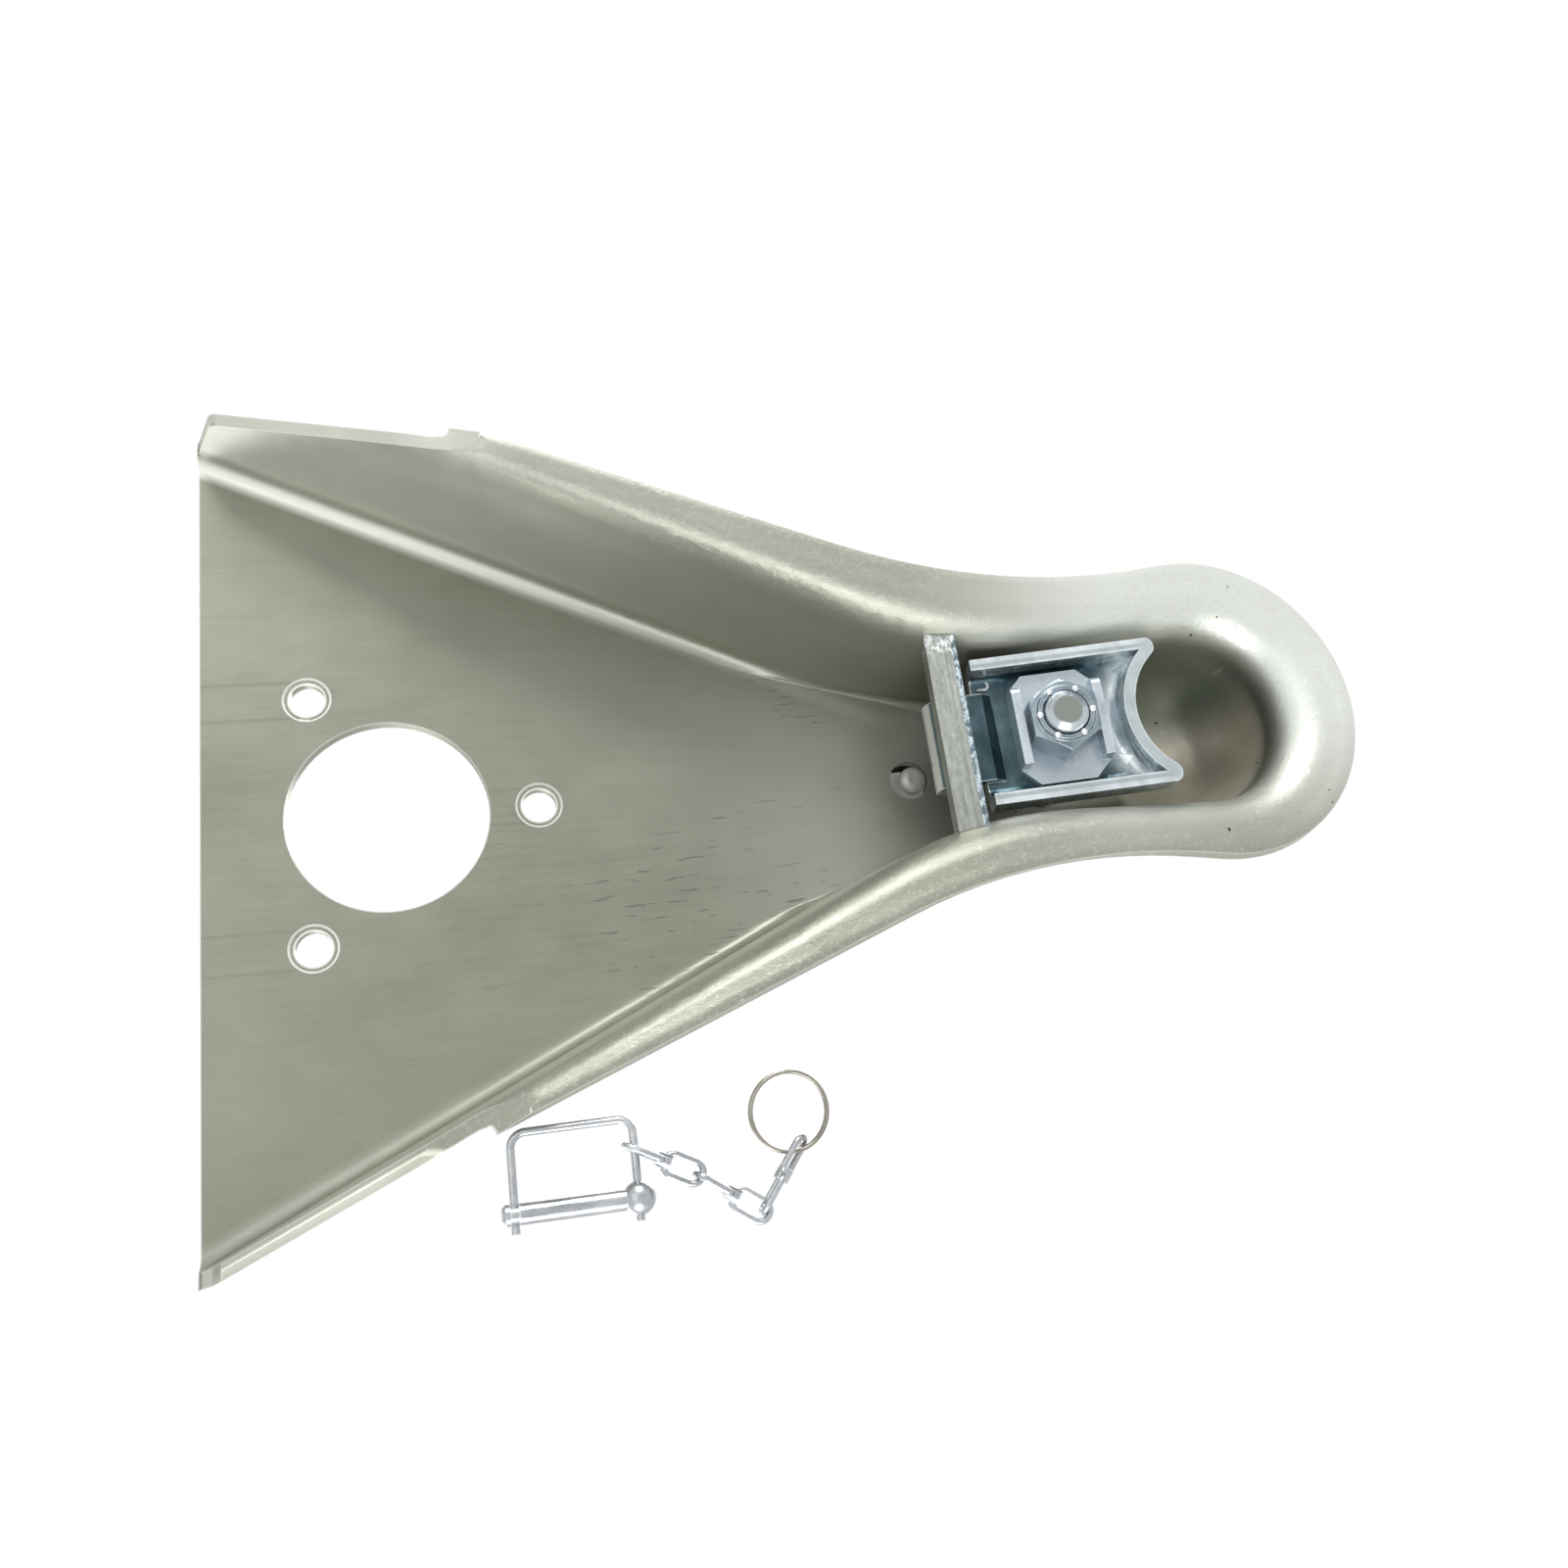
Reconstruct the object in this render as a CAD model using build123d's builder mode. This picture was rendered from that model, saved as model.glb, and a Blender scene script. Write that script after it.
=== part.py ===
from build123d import *
import os
from math import acos, atan2, cos, hypot, radians, sin, sqrt, tan

# Trailer coupling head for a 50 degree A-frame and a 2 inch tow ball.
# The origin is the centre of the ball in its socket. +X points to the nose, +Y to the left flange
# seen from above with the nose ahead, and +Z up. Lengths are in millimetres, angles in degrees.

os.makedirs("parts", exist_ok=True)

# Tow ball and socket
ball_diameter = 50.8
socket_clearance = 0.4
socket_radius = ball_diameter / 2 + socket_clearance

# Pressed sheet. Depths run down from the plate's underside, which is level with the socket's crown.
sheet = 4.0
rim_depth = 53.1
plate_bend_radius = 5.0
plate_underside = socket_radius
plate_top = plate_underside + sheet
floor_level = plate_underside - rim_depth

# Plan of the plate's corner line, where plate and flange would meet without a bend
jack_to_ball = 236.5
rear_edge_to_jack = 50.7
frame_half_angle = 25.0
rear_station = -203.5
rear_corner = 78.6
waist_station = -58.6
waist_corner = 23.3
side_bend_radius = 120.0
rim_side_bend_radius = 187.0

# Lean of the flange walls and the lip that curls out from them
flange_draft = 8.0
channel_draft = 3.0
lip_angle = 8.0
rear_lip_radius = 6.8
channel_lip_radius = 12.0
rim_rear_reach = 14.2
rim_side_reach = 23.6
rim_waist_reach = 14.3
rim_nose_radius = 45.7
rim_nose_setback = 0.4
rim_land = 1.0
crown_flat_radius = 1.0

# Sections that the pressed form is lofted through
bend_steps = 5
dome_steps = 6
wall_steps = 2
lip_lead = 2.0
lip_drops = (11.5, 9.6, 7.8, 6.1, 4.6, 3.3, 2.3, 1.4, 0.7)

# Slanting cut of the flanges at the rear, as distance ahead of the rear edge and depth
cut_corner_run = 6.7
cut_corner_depth = 20.0
cut_end_run = 74.5
cut_end_depth = 49.0
cut_run_out = 9.0
cut_corner_radius = 5.0
cut_end_radius = 14.0
cut_start_depth = 2.0
cut_start_radius = 0.5
cut_rim_radius = 1.0
cut_overrun = 2.0

# Holes in the plate
jack_bore_radius = 28.6
jack_bolt_circle = 85.8
jack_bolt_count = 3
jack_bolt_radius = 5.1
jack_bolt_pad_radius = 6.6
jack_bolt_pad_depth = 0.4
lock_hole_radius = 6.25
lock_hole_to_jack = 158.3

# Square bar that the clamp rocks on
bar_size = 9.0
bar_to_ball = 76.5
bar_drop = 14.2

# Lean of the clamp, bolt, nut and washer, their top towards the nose
lean = 12.0
travel_angle = 100.0
clamp_angle = 16.0

# Ball clamp, in its own leaning frame with the bar's centre as origin
clamp_sheet = 3.4
clamp_half_width = 22.4
clamp_floor = 8.3
clamp_edge = 0.8
clamp_rear = 8.4
clamp_front = 63.0
clamp_hollow_radius = 22.6
clamp_hollow_centre = 76.6
clamp_bend_radius = 4.0
horn_radius = 2.4
tongue_half_width = 13.5
tongue_floor = 5.9
tongue_rear = -6.0
tongue_curl_height = 14.0
tongue_curl_radius = 3.6
joggle_start = 11.0
joggle_run = 3.0
joggle_radius = 1.0
tongue_lap = 4.0
slot_front_margin = 0.7
slot_rear_margin = 2.7
slot_side_margin = 0.5

# Bolt, nut and washers. Heights along the bolt start at the saddle washer's lower face.
bolt_radius = 6.35
bolt_reach = 31.6
bolt_tip_length = 14.1
bolt_tip_chamfer = 2.2
bolt_hole_clearance = 0.85
saddle_thickness = 3.0
saddle_gap = 0.1
saddle_half_length = 13.2
saddle_half_width = 17.0
saddle_corner = 5.0
saddle_flange_thickness = 2.6
saddle_flange_drop = 6.0
saddle_flange_radius = 2.4
saddle_hole_clearance = 0.25
nut_across_flats = 19.05
nut_height = 11.1
nut_chamfer_angle = 30.0
nut_collar_height = 0.9
nut_collar_inset = 1.0
thread_gap = 0.05
eye_radius = 9.5
eye_half_width = 6.0

# Spring around the bolt, and the washer over it in its seat pressed into the plate
spring_wire_radius = 1.3
spring_radius = 9.6
spring_turns = 5.0
spring_end_gap = 0.25
spring_seat_radius = 12.0
spring_seat_thickness = 2.0
spring_seat_hole_clearance = 0.9
spring_seat_recess = 0.6
spring_seat_gap = 0.3

# Wedge that the handle's cams bear on, in its seat pressed into the plate's top
wedge_half_length = 17.0
wedge_half_width = 16.0
wedge_middle_height = 5.0
wedge_slot_margin = 0.6
wedge_corner_radius = 3.0
wedge_recess = 0.5
wedge_recess_gap = 0.2

# Folded latch handle with its two cams. Its sizes are measured from the pivot pin.
cam_steps = 6
cam_height = 20.5
cam_gap = 0.1
cheek_gap = 18.0
cheek_thickness = 3.0
web_thickness = 3.0
head_height = 11.0
head_front = 7.5
head_corner_radius = 4.5
cam_flat_overhang = 1.5
cam_heel_length = 2.0
cheek_bottom_front = -20.5
cheek_bottom_rear = -17.0
handle_length = 100.0
handle_rear_top = -1.0
web_front = 14.0
handle_end_radius = 9.0
grip_lip_length = 12.0
grip_lip_flat = 4.0
grip_lip_rise = 5.0
handle_edge_radius = 1.6

# Pivot pin of the handle and its clip
pivot_pin_radius = 4.0
running_gap = 0.05
pivot_head_radius = 6.2
pivot_head_thickness = 2.4
pivot_pin_overhang = 3.6
clip_groove_depth = 0.9
clip_thickness = 1.1
clip_radius = 6.4
clip_mouth = 5.0

# Spring-loaded trigger in the handle. Places are measured from the handle's pivot pin.
trigger_pin_x = -28.0
trigger_pin_z = -16.0
trigger_pin_radius = 2.5
trigger_pin_overhang = 1.0
trigger_pin_edge_radius = 0.6
trigger_boss_radius = 4.4
trigger_side_gap = 0.3
trigger_half_width = 6.0
trigger_bar_top = -14.5
trigger_bar_height = 4.0
trigger_tab_end = -78.0
trigger_tab_drop = 5.0
trigger_edge_radius = 0.8
nose_radius = 4.3
nose_offset = 1.5
nose_stick_out = 1.2
nose_edge_radius = 2.6
trigger_spring_x = -58.0
trigger_spring_radius = 2.8
trigger_spring_wire_radius = 0.5
trigger_spring_turns = 5.0
trigger_spring_end_gap = 0.2

# Safety pin, lying beside the left flange, and the hole for it through the handle
pin_radius = 2.5
pin_hole_clearance = 0.3
pin_hole_x = -68.0
pin_hole_z = -7.6
pin_length = 32.0
pin_head_x = -180.5
pin_head_radius = 4.0
pin_tip_chamfer = 0.8
pin_groove_depth = 0.5
pin_groove_from_tip = 3.0

# Spring wire bow of the safety pin
bail_wire_radius = 1.0
bail_width = 27.0
bail_depth = 18.6
bail_corner_radius = 3.6
bail_stub = 5.2
bail_overshoot = 4.4
bail_tip_gap = 0.15
bail_to_flange = 2.0

# Knotted wire chain and split ring. Headings are plan angles from +X.
link_wire_radius = 0.8
link_half_width = 2.6
link_length = 20.3
link_gap = 0.2
link_knot_radius = 1.9
link_knot_length = 3.4
link_headings = (28.0, 36.0, -52.0)
link_start_rolls = (90.0, 90.0, 90.0)
link_end_rolls = (0.0, 0.0, 60.0)
chain_height = 3.4
chain_leg_offset = 11.2
ring_radius = 9.6
ring_wire_radius = 0.5
ring_turn_gap = 0.06
ring_slack = 1.2
ring_tilt = 5.5
ring_heading = -94.0

# Places that follow from the sizes above
rear_edge = -jack_to_ball - rear_edge_to_jack
inner_rear = rear_edge - 3 * sheet
edge_depth = rim_depth - sheet * cos(radians(lip_angle))
lock_hole_x = lock_hole_to_jack - jack_to_ball
lean_up = (sin(radians(lean)), 0, cos(radians(lean)))
lean_ahead = (cos(radians(lean)), 0, -sin(radians(lean)))
clamp_frame = Plane(origin=(-bar_to_ball, 0, -bar_drop), x_dir=lean_ahead, z_dir=lean_up)
saddle_lower = clamp_floor - saddle_gap - saddle_thickness
bolt_frame = Plane(
    origin=clamp_frame.from_local_coords((bolt_reach, 0, saddle_lower)), x_dir=lean_ahead, z_dir=lean_up
)
saddle_front = bolt_reach + saddle_half_length
bolt_travel = saddle_front * tan(radians(clamp_angle))
cam_rate = bolt_travel / radians(travel_angle)
side_slope = tan(radians(frame_half_angle))
flange_at_bow = rear_corner + (rear_station - pin_head_x + bail_width) * side_slope + rim_rear_reach
pin_head_y = flange_at_bow + bail_to_flange + bail_depth


def height_on_bolt(level):
    """Height along the bolt's axis at which it passes a level."""
    return (level - bolt_frame.origin.Z) / lean_up[2]


wedge_foot = bolt_frame.from_local_coords((0, 0, height_on_bolt(plate_top)))
spring_seat_top = bolt_frame.from_local_coords((0, 0, height_on_bolt(plate_underside + spring_seat_recess)))
seat_height = height_on_bolt(plate_top) + wedge_middle_height
pivot_height = seat_height + cam_height
pivot = bolt_frame.from_local_coords((0, 0, pivot_height))
pivot_side = Plane(origin=pivot, x_dir=(1, 0, 0), z_dir=(0, -1, 0))
bolt_side = Plane(origin=bolt_frame.origin, x_dir=lean_ahead, z_dir=(0, -1, 0))
clamp_side = Plane(origin=clamp_frame.origin, x_dir=lean_ahead, z_dir=(0, -1, 0))


def coil_path(frame, pitch, height, radius):
    """Helix round a plane's z axis that starts on its x axis."""
    return Helix(pitch, height, radius, mode=Mode.PRIVATE).moved(frame.location)


def flange_offset(depth, shift, bend_radius, draft, lip_radius, reach):
    """Distance of the flange outside the plate's corner line at a depth.

    shift is 0 for the inner face and the sheet's thickness for the outer one. The section is the
    bend under the plate, the leaning wall, the lip's curl and the lip's straight end.
    """
    lean_angle = radians(draft)
    end_angle = radians(lip_angle)
    bend_setback = bend_radius * tan(radians(90 - draft) / 2)
    curl_run = lip_radius * (cos(lean_angle) - sin(end_angle))
    curl_drop = lip_radius * (cos(end_angle) - sin(lean_angle))
    straight = (reach - (rim_depth - curl_drop) * tan(lean_angle) - curl_run) / (
        cos(end_angle) - sin(end_angle) * tan(lean_angle)
    )
    wall_end = rim_depth - curl_drop - straight * sin(end_angle)
    curl_x = wall_end * tan(lean_angle) + lip_radius * cos(lean_angle)
    curl_depth = wall_end - lip_radius * sin(lean_angle)
    outer_bend = bend_radius + shift
    curl_radius = lip_radius - shift
    if depth <= bend_radius - outer_bend * sin(lean_angle):
        return sqrt(max(outer_bend**2 - (bend_radius - depth) ** 2, 0)) - bend_setback
    if depth <= curl_depth + curl_radius * sin(lean_angle):
        return depth * tan(lean_angle) + shift / cos(lean_angle)
    if depth <= curl_depth + curl_radius * cos(end_angle):
        return curl_x - sqrt(curl_radius**2 - (depth - curl_depth) ** 2)
    straight_depth = depth - curl_depth - curl_radius * cos(end_angle)
    return curl_x - curl_radius * sin(end_angle) + straight_depth / tan(end_angle)


def lip_share(depth):
    """How far a depth is down the lip, from 0 at the curl's start to 1 at the rim."""
    lip_start = rim_depth - channel_lip_radius
    return min(max((depth - lip_start) / channel_lip_radius, 0), 1)


def housing_outline(depth, shift, rear_x, inset=0):
    """Corner points of the housing's half outline at a depth, from the rear edge to the nose."""
    front_station = rear_station + (rear_corner - waist_corner) / side_slope
    nose_setback = socket_radius * tan(radians(90 - channel_draft) / 2)
    rear_y = rear_corner - inset + flange_offset(
        depth, shift, plate_bend_radius, flange_draft, rear_lip_radius, rim_rear_reach
    )
    front_y = waist_corner - inset + flange_offset(
        depth, shift, plate_bend_radius, flange_draft, channel_lip_radius, rim_side_reach
    )
    waist_y = waist_corner - inset + flange_offset(
        depth, shift, plate_bend_radius, channel_draft, channel_lip_radius, rim_waist_reach
    )
    nose_reach = rim_nose_radius - nose_setback
    nose_r = nose_setback - inset + flange_offset(
        depth, shift, socket_radius, channel_draft, channel_lip_radius, nose_reach
    )
    nose_r = max(nose_r, crown_flat_radius)
    nose_x = -rim_nose_setback * lip_share(depth)
    side_bend = side_bend_radius + (rim_side_bend_radius - side_bend_radius) * lip_share(depth)

    # Channel line from the waist, tangent to the nose circle
    reach = hypot(waist_station - nose_x, waist_y)
    to_waist = atan2(waist_y, waist_station - nose_x)
    touch = to_waist - acos(nose_r / reach)
    touch_point = (nose_x + nose_r * cos(touch), nose_r * sin(touch))
    channel_slope = (touch_point[1] - waist_y) / (touch_point[0] - waist_station)

    # Corner of side line and channel line, rounded by an arc
    slope = (front_y - rear_y) / (front_station - rear_station)
    corner_x = (waist_y - rear_y + slope * rear_station - channel_slope * waist_station) / (slope - channel_slope)
    corner_y = rear_y + slope * (corner_x - rear_station)
    side_angle = atan2(-slope, 1)
    channel_angle = atan2(channel_slope, 1)
    setback = side_bend * tan((side_angle + channel_angle) / 2)
    arc_start = (corner_x - setback * cos(side_angle), corner_y + setback * sin(side_angle))
    arc_end = (corner_x + setback * cos(channel_angle), corner_y + setback * sin(channel_angle))
    rear_point = (rear_x, rear_y + slope * (rear_x - rear_station))
    return rear_point, arc_start, arc_end, touch_point, (nose_x + nose_r, 0)


def housing_section(depth, shift, rear_x, inset=0):
    """Sketch of the housing's whole outline at a depth."""
    rear, start, end, touch, nose = housing_outline(depth, shift, rear_x, inset)
    other = [(x, -y) for x, y in (rear, start, end, touch)]
    with BuildSketch(Plane.XY.offset(plate_underside - depth)) as section:
        with BuildLine():
            side = Line(rear, start)
            bend = TangentArc(start, end, tangent=side % 1)
            Line(end, touch)
            ThreePointArc(touch, nose, other[3])
            Line(other[3], other[2])
            TangentArc(other[1], other[2], tangent=(side % 1).X * Vector(1, 0) - (side % 1).Y * Vector(0, 1))
            Line(other[1], other[0])
            Line(other[0], rear)
        make_face()
    return section.sketch


def bend_depths(shift):
    """Depths of the sections through the bend under the plate."""
    outer_bend = plate_bend_radius + shift
    last = 90 - flange_draft
    turns = [last * step / bend_steps for step in range(bend_steps + 1)]
    return [plate_bend_radius - outer_bend * cos(radians(turn)) for turn in turns]


def dome_depths(shift):
    """Depths of the sections down the socket's dome, at equal steps round its ball."""
    outer_radius = socket_radius + shift
    first = acos((socket_radius - bend_depths(shift)[-1]) / outer_radius)
    last = radians(90 - channel_draft)
    turns = [first + (last - first) * step / dome_steps for step in range(dome_steps + 1)]
    return [socket_radius - outer_radius * cos(turn) for turn in turns]


def wall_depths(shift):
    """Depths of the sections down the straight wall, from the dome's end to the lip's start."""
    top = dome_depths(shift)[-1]
    bottom = rim_depth - channel_lip_radius - lip_lead
    return [top + (bottom - top) * step / wall_steps for step in range(wall_steps + 1)]


with BuildPart() as housing:
    # Outer form
    curl_share = (channel_lip_radius - sheet) / channel_lip_radius
    outer_lip = [edge_depth - drop * curl_share for drop in lip_drops]
    outer_lip = [wall_depths(sheet)[-1]] + outer_lip + [edge_depth]
    for depths in (bend_depths(sheet), dome_depths(sheet), wall_depths(sheet), outer_lip):
        loft([housing_section(depth, sheet, rear_edge) for depth in depths])
    edge_sections = [housing_section(edge_depth, sheet, rear_edge), housing_section(rim_depth, 0, rear_edge)]
    loft(edge_sections, ruled=True)
    # Hollow
    for depths in (bend_depths(0), dome_depths(0), wall_depths(0)):
        loft([housing_section(depth, 0, inner_rear) for depth in depths], mode=Mode.SUBTRACT)
    inner_lip = [wall_depths(0)[-1]] + [rim_depth - drop for drop in lip_drops]
    inner_lip = [housing_section(depth, 0, inner_rear) for depth in inner_lip]
    inner_lip.append(housing_section(rim_depth, 0, inner_rear, rim_land))
    loft(inner_lip, mode=Mode.SUBTRACT)
    # Slanting cut at the rear
    cut_rim = rear_edge + cut_end_run + cut_run_out
    with BuildSketch(Plane.XZ):
        with BuildLine():
            cut = FilletPolyline(
                (rear_edge - cut_overrun, plate_underside - cut_corner_depth / 2),
                (rear_edge, plate_underside - cut_start_depth),
                (rear_edge + cut_corner_run, plate_underside - cut_corner_depth),
                (rear_edge + cut_end_run, plate_underside - cut_end_depth),
                (cut_rim, floor_level),
                (cut_rim, floor_level - cut_overrun),
                radius=(cut_start_radius, cut_corner_radius, cut_end_radius, cut_rim_radius),
            )
            Polyline(cut @ 1, (rear_edge - cut_overrun, floor_level - cut_overrun), cut @ 0)
        make_face()
    extrude(amount=2 * rear_corner, both=True, mode=Mode.SUBTRACT)
    # Jack hole, its bolt holes and their pads, and the trigger's hole
    jack_centre = (-jack_to_ball, 0, plate_underside)
    with Locations(jack_centre):
        Cylinder(jack_bore_radius, 3 * sheet, mode=Mode.SUBTRACT)
        with PolarLocations(jack_bolt_circle / 2, jack_bolt_count):
            Cylinder(jack_bolt_radius, 3 * sheet, mode=Mode.SUBTRACT)
            Cylinder(jack_bolt_pad_radius, 2 * jack_bolt_pad_depth, mode=Mode.SUBTRACT)
    with Locations((lock_hole_x, 0, plate_underside)):
        Cylinder(lock_hole_radius, 3 * sheet, mode=Mode.SUBTRACT)
    # Leaning hole for the bolt
    with BuildSketch(bolt_frame.offset(height_on_bolt(plate_underside) - 2 * sheet)):
        Circle(bolt_radius + bolt_hole_clearance)
    extrude(amount=5 * sheet, mode=Mode.SUBTRACT)
    # Seats for the wedge on top and the spring's washer below
    with BuildSketch(Plane.XY.offset(plate_top)):
        with Locations((wedge_foot.X, 0)):
            RectangleRounded(
                2 * (wedge_half_length + wedge_recess_gap),
                2 * (wedge_half_width + wedge_recess_gap),
                wedge_corner_radius + wedge_recess_gap,
            )
    extrude(amount=-wedge_recess, mode=Mode.SUBTRACT)
    with BuildSketch(Plane(spring_seat_top)):
        Circle(spring_seat_radius + spring_seat_gap)
    extrude(amount=-spring_seat_thickness - spring_seat_recess, mode=Mode.SUBTRACT)
housing.part.label = "housing"
export_step(housing.part, "parts/housing.step")


# Bar from wall to wall: a slab with the walls' outline, trimmed to the bar and then by the walls
with BuildPart() as cross_bar:
    add(housing_section(plate_underside - clamp_frame.origin.Z, sheet / 2, rear_edge))
    extrude(amount=bar_size, both=True)
    with Locations(clamp_frame):
        Box(bar_size, 4 * rear_corner, bar_size, mode=Mode.INTERSECT)
    add(housing.part, mode=Mode.SUBTRACT)
cross_bar.part.label = "cross_bar"
export_step(cross_bar.part, "parts/cross_bar.step")


with BuildPart() as ball_clamp:
    # Channel with rounded upper bends
    with BuildSketch(Plane(clamp_frame.from_local_coords((clamp_rear, 0, 0)), (0, 1, 0), lean_ahead)):
        with Locations((0, (clamp_edge + clamp_floor + clamp_sheet) / 2)):
            blank = Rectangle(2 * clamp_half_width, clamp_floor + clamp_sheet - clamp_edge)
        fillet(blank.vertices().sort_by(Axis.Y)[2:], clamp_bend_radius)
    extrude(amount=clamp_front - clamp_rear)
    # Front edge hollowed to go round the ball's neck
    with BuildSketch(clamp_frame) as channel_plan:
        with Locations(((clamp_rear + clamp_front) / 2, 0)):
            Rectangle(clamp_front - clamp_rear, 2 * clamp_half_width)
        with Locations((clamp_hollow_centre, 0)):
            Circle(clamp_hollow_radius, mode=Mode.SUBTRACT)
        fillet(channel_plan.vertices().group_by(Axis.X)[-1], horn_radius)
    extrude(amount=clamp_floor + clamp_sheet, mode=Mode.INTERSECT)
    # Hollow between the walls, open to the rear
    with BuildSketch(clamp_frame.offset(clamp_edge)) as hollow_plan:
        with Locations((clamp_front / 2, 0)):
            Rectangle(clamp_front, 2 * (clamp_half_width - clamp_sheet))
        with Locations((clamp_hollow_centre, 0)):
            Circle(clamp_hollow_radius + clamp_sheet, mode=Mode.SUBTRACT)
    extrude(amount=clamp_floor - clamp_edge, mode=Mode.SUBTRACT)
    # Tongue over the bar, with a step behind the channel and a curled end
    with BuildSketch(clamp_side) as tongue_side:
        with BuildLine():
            lower = FilletPolyline(
                (joggle_start + joggle_run + tongue_lap, clamp_floor),
                (joggle_start + joggle_run, clamp_floor),
                (joggle_start, tongue_floor),
                (tongue_rear, tongue_floor),
                (tongue_rear, tongue_curl_height),
                radius=(joggle_radius, joggle_radius, tongue_curl_radius + clamp_sheet),
            )
            upper = offset(lower, clamp_sheet, side=Side.RIGHT)
        make_face()
    extrude(amount=tongue_half_width, both=True)
    # Slot for the bolt, which tilts against the clamp as it opens
    with BuildSketch(clamp_frame.offset(clamp_edge)):
        with Locations((bolt_reach + (slot_front_margin - slot_rear_margin) / 2, 0)):
            SlotOverall(
                2 * bolt_radius + slot_front_margin + slot_rear_margin, 2 * (bolt_radius + slot_side_margin)
            )
    extrude(amount=clamp_floor + clamp_sheet, mode=Mode.SUBTRACT)
ball_clamp.part.label = "ball_clamp"
export_step(ball_clamp.part, "parts/ball_clamp.step")


with BuildPart() as saddle_washer:
    with BuildSketch(bolt_frame):
        corners = Rectangle(2 * saddle_half_length, 2 * saddle_half_width).vertices()
        chamfer(corners, saddle_corner)
    extrude(amount=saddle_thickness)
    flange_middle = saddle_half_length - saddle_flange_thickness / 2
    with BuildSketch(Plane(bolt_frame.origin, x_dir=(0, 1, 0), z_dir=lean_ahead)) as flange_face:
        with Locations((0, (saddle_thickness - saddle_flange_drop) / 2)):
            blank = Rectangle(2 * (saddle_half_width - saddle_corner), saddle_flange_drop + saddle_thickness)
            fillet(blank.vertices().sort_by(Axis.Z)[:2], saddle_flange_radius)
    for side in (-1, 1):
        extrude(
            flange_face.sketch.moved(Location(Vector(lean_ahead) * (side * flange_middle))),
            amount=saddle_flange_thickness / 2,
            both=True,
        )
    with BuildSketch(bolt_frame):
        Circle(bolt_radius + saddle_hole_clearance)
    extrude(amount=saddle_thickness, mode=Mode.SUBTRACT)
saddle_washer.part.label = "saddle_washer"
export_step(saddle_washer.part, "parts/saddle_washer.step")


with BuildPart() as lock_nut:
    with BuildSketch(bolt_frame):
        RegularPolygon(nut_across_flats / 2, 6, major_radius=False, rotation=30)
        Circle(bolt_radius + thread_gap, mode=Mode.SUBTRACT)
    extrude(amount=-nut_height)
    nut_corner = nut_across_flats / sqrt(3)
    with BuildSketch(bolt_side):
        with BuildLine():
            cone_drop = (nut_corner - nut_across_flats / 2) * tan(radians(nut_chamfer_angle))
            Polyline(
                (0, 0),
                (nut_corner, 0),
                (nut_corner, cone_drop - nut_height),
                (nut_across_flats / 2, -nut_height),
                (0, -nut_height),
                close=True,
            )
        make_face()
    revolve(axis=Axis(bolt_frame.origin, lean_up), mode=Mode.INTERSECT)
    # Raised collar round the bolt
    with BuildSketch(bolt_frame.offset(-nut_height)):
        Circle(nut_across_flats / 2 - nut_collar_inset)
        Circle(bolt_radius + thread_gap, mode=Mode.SUBTRACT)
    extrude(amount=-nut_collar_height, taper=nut_chamfer_angle)
lock_nut.part.label = "lock_nut"
export_step(lock_nut.part, "parts/lock_nut.step")


with BuildPart() as eye_bolt:
    with BuildSketch(bolt_frame.offset(-bolt_tip_length)):
        Circle(bolt_radius)
    extrude(amount=bolt_tip_length + pivot_height)
    tip = eye_bolt.edges().filter_by(GeomType.CIRCLE).sort_by(Axis(bolt_frame.origin, lean_up))[0]
    chamfer(tip, bolt_tip_chamfer)
    with BuildSketch(pivot_side):
        Circle(eye_radius)
    extrude(amount=eye_half_width, both=True)
    # Flats on both sides of the eye
    with BuildSketch(bolt_frame.offset(pivot_height - eye_radius)) as eye_flats:
        Rectangle(4 * eye_radius, 4 * eye_radius)
        Rectangle(4 * eye_radius, 2 * eye_half_width, mode=Mode.SUBTRACT)
    extrude(amount=2 * eye_radius, mode=Mode.SUBTRACT)
    with BuildSketch(pivot_side):
        Circle(pivot_pin_radius + running_gap)
    extrude(amount=2 * eye_half_width, both=True, mode=Mode.SUBTRACT)
eye_bolt.part.label = "eye_bolt"
export_step(eye_bolt.part, "parts/eye_bolt.step")


# Room for the spring between the clamp's floor and the washer over it
spring_foot = saddle_gap + saddle_thickness + clamp_sheet + spring_end_gap
spring_tilt = (spring_radius + spring_wire_radius) * tan(radians(lean))
spring_head = height_on_bolt(spring_seat_top.Z - spring_seat_thickness) - spring_tilt - spring_end_gap

with BuildPart() as spring_seat:
    with BuildSketch(Plane(spring_seat_top)):
        Circle(spring_seat_radius)
        Circle(bolt_radius + spring_seat_hole_clearance, mode=Mode.SUBTRACT)
    extrude(amount=-spring_seat_thickness)
spring_seat.part.label = "spring_seat"
export_step(spring_seat.part, "parts/spring_seat.step")

with BuildPart() as clamp_spring:
    spring_height = spring_head - spring_foot - 2 * spring_wire_radius
    spring_base = bolt_frame.offset(spring_foot + spring_wire_radius)
    coil = coil_path(spring_base, spring_height / spring_turns, spring_height, spring_radius)
    with BuildSketch(Plane(origin=coil @ 0, z_dir=coil % 0)):
        Circle(spring_wire_radius)
    sweep(path=coil, is_frenet=True)
clamp_spring.part.label = "clamp_spring"
export_step(clamp_spring.part, "parts/clamp_spring.step")


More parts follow.
